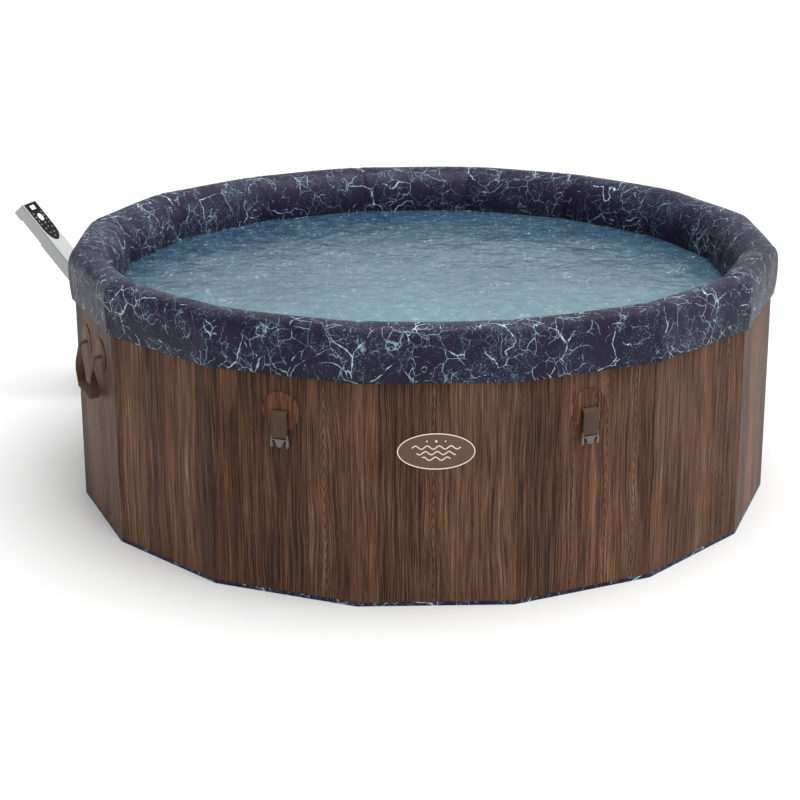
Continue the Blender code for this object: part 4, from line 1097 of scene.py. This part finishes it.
def make_plug(number, matrix, body, low, high, standoff, bar):
    """A side-release plug: a webbing bar in a frame, a rounded tongue and two sprung prongs."""
    half = (high.x - low.x) / 2
    top, tip = high.y, low.y
    shoulder = top - PLUG_HEAD
    prong = half * 0.30
    tongue = half * 0.36
    frame_half = half * 0.93
    prong_root = half - prong * 0.85
    right = [(frame_half * 0.96, top), (frame_half, top - 0.002), (frame_half, shoulder + 0.002)]
    right += arc((half - 0.003, shoulder - 0.006), (0.003, 0.007), 80, 0, 4)
    right += [(half, tip + 0.006)]
    right += arc((half - prong / 2, tip + 0.0035), (prong / 2, 0.0035), 0, -180, 6)
    right += [(half - prong, tip + 0.008), (prong_root, shoulder - 0.004)]
    right += arc((prong_root - 0.0028, shoulder - 0.0036), (0.0028, 0.0028), 0, 180, 6)
    right += [(tongue, tip + 0.009)]
    nose = arc((0.0, tip + 0.008), (tongue, 0.0075), 0, -180, 12)[1:-1]
    outline = right + nose + [(-x, y) for x, y in reversed(right)]
    slot_half = frame_half - PLUG_WALL
    slot = rounded_rectangle((-slot_half, bar - 0.0062), (slot_half, bar - 0.0026), 0.0012, 3)
    middle = standoff - BUCKLE_BAR
    plate = flat_piece(f"plug_{number}", [outline, slot], middle - PLUG_THICKNESS / 2,
                       middle + PLUG_THICKNESS / 2, matrix, 0.0011)
    dress(plate, body, "buckle_plastic", LOOKS["buckle"], f"buckle_plug_{number}")


HANDLE_LAYER = 0.0024           # thickness of the webbing
HANDLE_WIDTH = 0.0235
HANDLE_BEND = 0.012             # radius of the turn from a leg into the level run
HANDLE_EASE = 0.007             # the limp handle hangs a little nearer to the wall


def make_handle(number):
    matrix = swing_matrix(f"handle_swing_{number}")
    body = f"handle_{number}"
    azimuth = azimuth_of(matrix)
    for i, side in enumerate(("left", "right")):
        make_patch(f"handle_patch_{side}_{number}", azimuth, 0.83 * number + 0.29 * i)
    grip_low, grip_high = local_box(f"handle_grip_{number}", matrix)
    reach = (grip_high.x - grip_low.x) / 2 + 0.001
    patch_low, patch_high = local_box(f"handle_patch_right_{number}", matrix)
    anchor = (patch_low.x + patch_high.x) / 2
    standoff = (grip_low.z + grip_high.z) / 2 - HANDLE_EASE
    drop = (grip_low.y + grip_high.y) / 2
    leg, sides = handle_leg(anchor, standoff, drop)
    run = [(x, drop, standoff) for x in np.linspace(anchor - HANDLE_BEND, HANDLE_BEND - anchor, 15)]
    path = leg + run[1:-1] + [(-x, y, z) for x, y, z in reversed(leg)]
    sides += [(0.0, 0.0, 1.0)] * (len(run) - 2) + [(x, y, -z) for x, y, z in reversed(sides)]
    sides = continuous_sides(sides)
    web = ribbon(f"handle_web_{number}", path, sides, HANDLE_WIDTH, HANDLE_LAYER, matrix)
    dress(web, body, "webbing", LOOKS["webbing"], f"handle_webbing_{number}")
    make_grip(number, matrix, body, reach, standoff, drop)


def handle_leg(anchor, standoff, drop):
    """From the slit in the right patch out and down, twisting a quarter turn, to the level run."""
    fall = standoff * 0.5
    leg = [(anchor, y, z) for y, z in SLIT_START]
    leg += [(anchor, y, z) for z, y in arc((0.0, -fall), (standoff, fall), 90, 0, 8)[1:]]
    sides = [(1.0, 0.0, 0.0)] * len(leg)
    low = drop + HANDLE_BEND
    for i in range(1, 13):
        share = i / 12
        y = -fall + (low + fall) * share
        twist = math.pi / 2 * (3 * share ** 2 - 2 * share ** 3)
        leg.append((anchor, y, standoff + 0.003 * math.sin(math.pi * share)))
        sides.append((math.cos(twist), 0.0, math.sin(twist)))
    for x, y in arc((anchor - HANDLE_BEND, low), (HANDLE_BEND, HANDLE_BEND), 0, -90, 6)[1:]:
        leg.append((x, y, standoff))
        sides.append((0.0, 0.0, 1.0))
    return leg, sides


def continuous_sides(sides):
    """The same width directions, each turned so that it agrees with the one before."""
    kept = [Vector(sides[0])]
    for side in sides[1:]:
        side = Vector(side)
        kept.append(side if side.dot(kept[-1]) >= 0.0 else -side)
    return kept


def make_grip(number, matrix, body, reach, standoff, drop):
    """A folded sleeve around the level run, drawn in at its ends."""
    wide, tall = HANDLE_WIDTH / 2 + 0.0030, HANDLE_LAYER / 2 + 0.0028
    section = rounded_rectangle((-wide, -tall), (wide, tall), tall * 0.85, 5)
    loops = []
    count = 24
    for i in range(count + 1):
        x = (i / count * 2 - 1) * reach
        end = max(0.0, (abs(x) - reach + 0.004) / 0.004)
        pinch = 1.0 - 0.10 * end ** 2
        sag = 0.0008 * math.cos(x / reach * math.pi / 2)
        loops.append([(x, drop - sag + b * pinch, standoff + a * pinch) for a, b in section])
    grip = loft(f"handle_sleeve_{number}", loops, matrix)
    print_map(grip, matrix, across=2, along=0)
    dress(grip, body, "webbing", LOOKS["webbing"], f"handle_grip_{number}")


# ---- nuts and caps -----------------------------------------------------------------------
def make_nut(name):
    node, body = name + "_union_nut", name + "_nut"
    matrix = axis_matrix(name + "_nut_turn")
    points = cad_points(node, matrix)
    radius = np.hypot(points[:, 0], points[:, 1])
    lip, outer = radius.min(), radius.max()
    start, end = points[:, 2].min(), points[:, 2].max()
    mouth = radius[points[:, 2] < start + TOUCH].min()
    face = points[radius < lip + TOUCH][:, 2].min()
    chamfer = 0.0025
    line = [(lip, end), (outer - chamfer, end), (outer, end - chamfer), (outer, start + chamfer)]
    line += [(outer - chamfer, start), (mouth, start), (mouth, face), (lip, face)]
    nut = turned(node + "_ribbed", line, matrix, ribs=22, rib_depth=0.0022, ribbed=(2, 3))
    dress(nut, body, "dark_plastic", LOOKS["dark"], node)


def axis_matrix(name):
    """A joint's frame with local Z along its axis."""
    found = joint(name)
    axis = Vector(found["axis"])
    azimuth = math.degrees(math.atan2(axis.x, -axis.y))
    matrix = panel_matrix(azimuth)
    matrix.translation = Vector(found["pos_m"])
    return matrix


def make_cap(name):
    node, body = name + "_valve_cap", name + "_cap"
    matrix = axis_matrix(name + "_cap_turn")
    points = cad_points(node, matrix)
    radius = np.hypot(points[:, 0], points[:, 1])
    outer, mouth, top = radius.max(), points[:, 2].min(), points[:, 2].max()
    inner = radius[points[:, 2] < mouth + TOUCH].min()
    roof = points[np.abs(radius - inner) < TOUCH][:, 2].max()
    line = [(0.0, top - 0.0010), (outer * 0.62, top - 0.0010), (outer * 0.66, top), (outer - 0.0025, top)]
    line += [(outer, top - 0.0025), (outer, mouth + 0.001), (outer - 0.001, mouth), (inner, mouth)]
    line += [(inner, roof), (0.0, roof)]
    cap = turned(node + "_fluted", line, matrix, ribs=24, rib_depth=0.0012, ribbed=(4, 5))
    dress(cap, body, "dark_plastic", LOOKS["dark"], node)


# ---- pump --------------------------------------------------------------------------------
PUMP_FILLET = 0.020
VENTS = 5
VENT_WIDTH = 0.140
VENT_HEIGHT = 0.008
VENT_PITCH = 0.022
VENT_START = 0.240


def case_outline(low, high, inset):
    corner = max(PUMP_CORNER - inset, 0.004)
    return rounded_rectangle((low.x + inset, low.y + inset), (high.x - inset, high.y - inset),
                             corner, 10)


def make_pump_case():
    """The outer half of the case, with round edges and vents."""
    matrix = panel_matrix(PUMP_AZIMUTH)
    low, high = local_box("pump_outer_shell", matrix)

    def loop(level, inset):
        return [(x, y, level) for x, y in case_outline(low, high, inset)]

    edge = high.z - PUMP_FILLET
    outer = [loop(low.z, 0.0015), loop(low.z + 0.0015, 0.0)]
    for i in range(9):
        a = math.pi / 2 * i / 8
        outer.append(loop(edge + PUMP_FILLET * math.sin(a), PUMP_FILLET * (1 - math.cos(a))))
    inner = []
    r = PUMP_FILLET - PUMP_WALL
    for i in range(9):
        a = math.pi / 2 * (8 - i) / 8
        inner.append(loop(edge + r * math.sin(a), PUMP_WALL + r * (1 - math.cos(a))))
    inner += [loop(low.z, PUMP_WALL)]
    case = loft("pump_case_outer", inner + outer, matrix)
    middle = (low.x + high.x) / 2
    slots = []
    for i in range(VENTS):
        base = VENT_START + VENT_PITCH * i
        slot = rounded_rectangle((middle - VENT_WIDTH / 2, base),
                                 (middle + VENT_WIDTH / 2, base + VENT_HEIGHT), 0.0035, 5)
        slots.append(flat_piece(f"vent_cutter_{i}", [slot], high.z - 0.012, high.z + 0.010,
                                matrix, 0.0001))
    cut(case, slots)
    dress(case, "root", "pump_plastic", LOOKS["pump"], "pump_outer_shell")
    make_case_trim(matrix, low, high)


def make_case_trim(matrix, low, high):
    """The gasket between the case's halves, a raised rim around the vents, and four screws."""
    gasket = flat_piece("case_gasket", [case_outline(low, high, -0.0008),
                                        case_outline(low, high, PUMP_WALL * 0.8)],
                        low.z - 0.0022, low.z + 0.0010, matrix, 0.0003)
    dress(gasket, "root", "dark_plastic", LOOKS["dark"])
    middle = (low.x + high.x) / 2
    top = VENT_START + VENT_PITCH * (VENTS - 1) + VENT_HEIGHT
    frames = []
    for margin in (0.020, 0.016):
        frames.append(rounded_rectangle((middle - VENT_WIDTH / 2 - margin, VENT_START - margin),
                                        (middle + VENT_WIDTH / 2 + margin, top + margin), margin, 8))
    rim = flat_piece("vent_rim", frames, high.z - 0.0010, high.z + 0.0012, matrix, 0.0006)
    dress(rim, "root", "pump_plastic", LOOKS["pump"])
    inset = PUMP_FILLET + 0.012
    corners = [(x, y) for y in (low.y + inset, high.y - inset) for x in (low.x + inset, high.x - inset)]
    for i, (x, y) in enumerate(corners):
        place = matrix @ Matrix.Translation((x, y, high.z))
        make_screw(f"case_screw_{i + 1}", place, 15.0 + 40.0 * i)


def make_screw(name, matrix, turn):
    """A low domed screw head with a cross recess."""
    line = [(0.0, -0.0010), (0.0040, -0.0010), (0.0040, 0.0004), (0.0034, 0.0011),
            (0.0020, 0.0015), (0.0, 0.0016)]
    head = turned(name, line, matrix, 32)
    spun = matrix @ Matrix.Rotation(math.radians(turn), 4, "Z")
    arms = []
    for i, (wide, tall) in enumerate(((0.0022, 0.0005), (0.0005, 0.0022))):
        outline = rounded_rectangle((-wide, -tall), (wide, tall), 0.0002, 2)
        arms.append(flat_piece(f"{name}_recess_{i}", [outline], 0.0008, 0.0030, spun, 0.0001))
    cut(head, arms)
    dress(head, "root", "dark_plastic", LOOKS["dark"])


# ---- control panel -----------------------------------------------------------------------
def arm_matrix():
    place = Vector(joint("arm_swivel")["pos_m"])
    turn = Matrix.Rotation(math.radians(ARM_AZIMUTH), 4, "Z")
    lean = Matrix.Rotation(math.radians(ARM_LEAN), 4, "X")
    return Matrix.Translation(place) @ turn @ lean


def make_panel_details():
    """The display, the keys and their plain signs, printed a hair above the panel's face."""
    tilted = arm_matrix()
    face = local_box("control_panel", tilted)[1].y
    across = Matrix(((-1, 0, 0, 0), (0, 0, 1, 0), (0, 1, 0, 0), (0, 0, 0, 1)))
    matrix = tilted @ Matrix.Translation((0.0, 0.0, ARM_LENGTH)) @ across
    window = rounded_rectangle((-0.0135, -0.029), (0.0115, -0.013), 0.002)
    display = flat_piece("panel_display", [window], face - 0.0002, face + 0.0004, matrix, 0.0002)
    dress(display, "arm", "panel_gloss", LOOKS["display"])
    key, ring, hole = ([(x, y - 0.061) for x, y in oval(wide, tall, steps)] for wide, tall, steps in (
        (0.023, 0.028, 48), (0.012, 0.016, 36), (0.009, 0.013, 36)))
    button = flat_piece("panel_key", [key], face - 0.0002, face + 0.0008, matrix, 0.0004)
    dress(button, "arm", "panel_gloss", LOOKS["display"])
    sign = flat_piece("panel_key_sign", [ring, hole], face + 0.0007, face + 0.0010, matrix, 0.0001)
    dress(sign, "arm", "panel_gloss", LOOKS["icon"])
    make_panel_signs(matrix, face)


def make_panel_signs(matrix, face):
    """A column of four signs down each side, and seven more below the key."""
    shapes = []
    for x in (-0.0225, 0.0225):
        for kind, y in enumerate((-0.044, -0.058, -0.072, -0.086)):
            shapes += sign_shape(kind, x, y)
    for x, y, kind in ((0.0, -0.084, 1), (0.0, -0.100, 3), (-0.019, -0.104, 2),
                       (0.019, -0.104, 0), (-0.010, -0.122, 3), (0.010, -0.122, 1),
                       (0.0, -0.136, 2)):
        shapes += sign_shape(kind, x, y)
    signs = flat_piece("panel_signs", shapes, face - 0.0002, face + 0.0003, matrix, 0.0001)
    dress(signs, "arm", "panel_gloss", LOOKS["icon"])


def sign_shape(kind, x, y):
    """A ring, three bars, a triangle or a wave, a few millimetres across."""
    if kind == 0:
        return [[(x + a, y + b) for a, b in oval(size, size, 20)] for size in (0.0064, 0.0044)]
    if kind == 1:
        return [rounded_rectangle((x + s - 0.0006, y - 0.003), (x + s + 0.0006, y + 0.003),
                                  0.0003, 2) for s in (-0.0022, 0.0, 0.0022)]
    if kind == 2:
        return [[(x - 0.003, y - 0.0024), (x + 0.003, y - 0.0024), (x, y + 0.003)]]
    line = [(x - 0.0036 + 0.0004 * i, y + 0.0012 * math.sin(i * 0.7)) for i in range(19)]
    return [band(line, 0.0011)]


# ---- carried-over pieces -----------------------------------------------------------------
CAD_LOOKS = {
    "marble": ("bottom_sheet", "inner_liner", "airjet_ring"),
    "fitting": ("inlet_fitting", "outlet_fitting", "air_fitting", "filter_housing",
                "pump_impeller", "blower_fan"),
    "dark": ("drain_valve", "inflation_valve", "pump_base", "circulation_pump",
             "blower_housing", "cable_gland"),
    "pump": ("pump_tub_side_shell", "arm_post", "arm_collar"),
    "arm": ("arm_shell", "arm_cover"),
    "gloss": ("control_panel",),
    "steel": ("heater_tube",),
    "board": ("circuit_board",),
    "paper": ("filter_cartridge",),
}


def paint_cad_nodes():
    for look, nodes in CAD_LOOKS.items():
        for name in nodes:
            node = frame["nodes"][name]
            if not node.material_slots:
                node.data.materials.append(LOOKS[look])
            for place in node.material_slots:
                place.material = LOOKS[look]


# ---- floor, light and camera -------------------------------------------------------------
FLOOR_ALBEDO = 0.62
HORIZON_LIGHT = 0.95
ZENITH_LIGHT = 1.15
SIDE_LIGHT = (0.26, 1.20)       # shares of the sky's light that come from the left and the right
KEY_STRENGTH = 3.3
KEY_SOFTNESS = 45.0             # degrees across
KEY_FROM = (0.17, -0.11, 0.98)
CAMERA_PLACE = (-0.1518, -4.7506, 1.813)
CAMERA_TURN = (71.26, 0.0, -1.83)       # degrees
CAMERA_LENS = 77.4
CAMERA_SHIFT = -0.029


def make_stage():
    bpy.ops.mesh.primitive_plane_add(size=60.0, location=(0.0, 0.0, -0.0005))
    floor = bpy.context.active_object
    floor.name = "studio_floor"
    look = Look("studio_floor", Roughness=0.9, Specular_IOR_Level=0.1)
    look.set("Base Color", (FLOOR_ALBEDO, FLOOR_ALBEDO, FLOOR_ALBEDO, 1.0))
    floor.data.materials.append(look.material)


def make_light():
    """A sky that is brightest overhead and to the right, and a soft key from the front right."""
    world = bpy.data.worlds.new("studio")
    bpy.context.scene.world = world
    world.use_nodes = True
    sky = Nodes(world.node_tree)
    background = sky.tree.nodes["Background"]
    x, _, z = sky.split(sky.add("TexCoord", {}, "Generated"))
    upward = sky.span(z, 0.0, 1.0, HORIZON_LIGHT, ZENITH_LIGHT, smooth=True)
    sideways = sky.span(x, -1.0, 1.0, *SIDE_LIGHT)
    sky.feed(background.inputs["Strength"], sky.times(upward, sideways))
    background.inputs["Color"].default_value = (1.0, 1.0, 1.0, 1.0)
    sun = bpy.data.lights.new("key_light", "SUN")
    sun.energy = KEY_STRENGTH
    sun.angle = math.radians(KEY_SOFTNESS)
    lamp = bpy.data.objects.new("key_light", sun)
    bpy.context.scene.collection.objects.link(lamp)
    lamp.rotation_euler = Vector(KEY_FROM).to_track_quat("Z", "Y").to_euler()


def make_camera():
    lens = bpy.data.cameras.new("camera")
    lens.lens = CAMERA_LENS
    lens.sensor_width = 36.0
    lens.shift_x = CAMERA_SHIFT
    camera = bpy.data.objects.new("camera", lens)
    bpy.context.scene.collection.objects.link(camera)
    camera.location = CAMERA_PLACE
    camera.rotation_euler = [math.radians(a) for a in CAMERA_TURN]
    bpy.context.scene.camera = camera
    bpy.context.scene.view_settings.view_transform = "Standard"


# ---- the whole tub -----------------------------------------------------------------------
def main():
    make_camera()
    make_light()
    make_stage()
    paint_cad_nodes()
    columns = ring_columns()
    make_wrap(columns)
    make_cuff(columns)
    make_chamber(columns)
    make_water(columns)
    make_badge()
    for number in range(1, 7):
        make_buckle(number)
    for number in (1, 2):
        make_handle(number)
    for name in ("inlet", "outlet", "air"):
        make_nut(name)
    for name in ("drain", "inflation"):
        make_cap(name)
    make_pump_case()
    make_panel_details()


main()
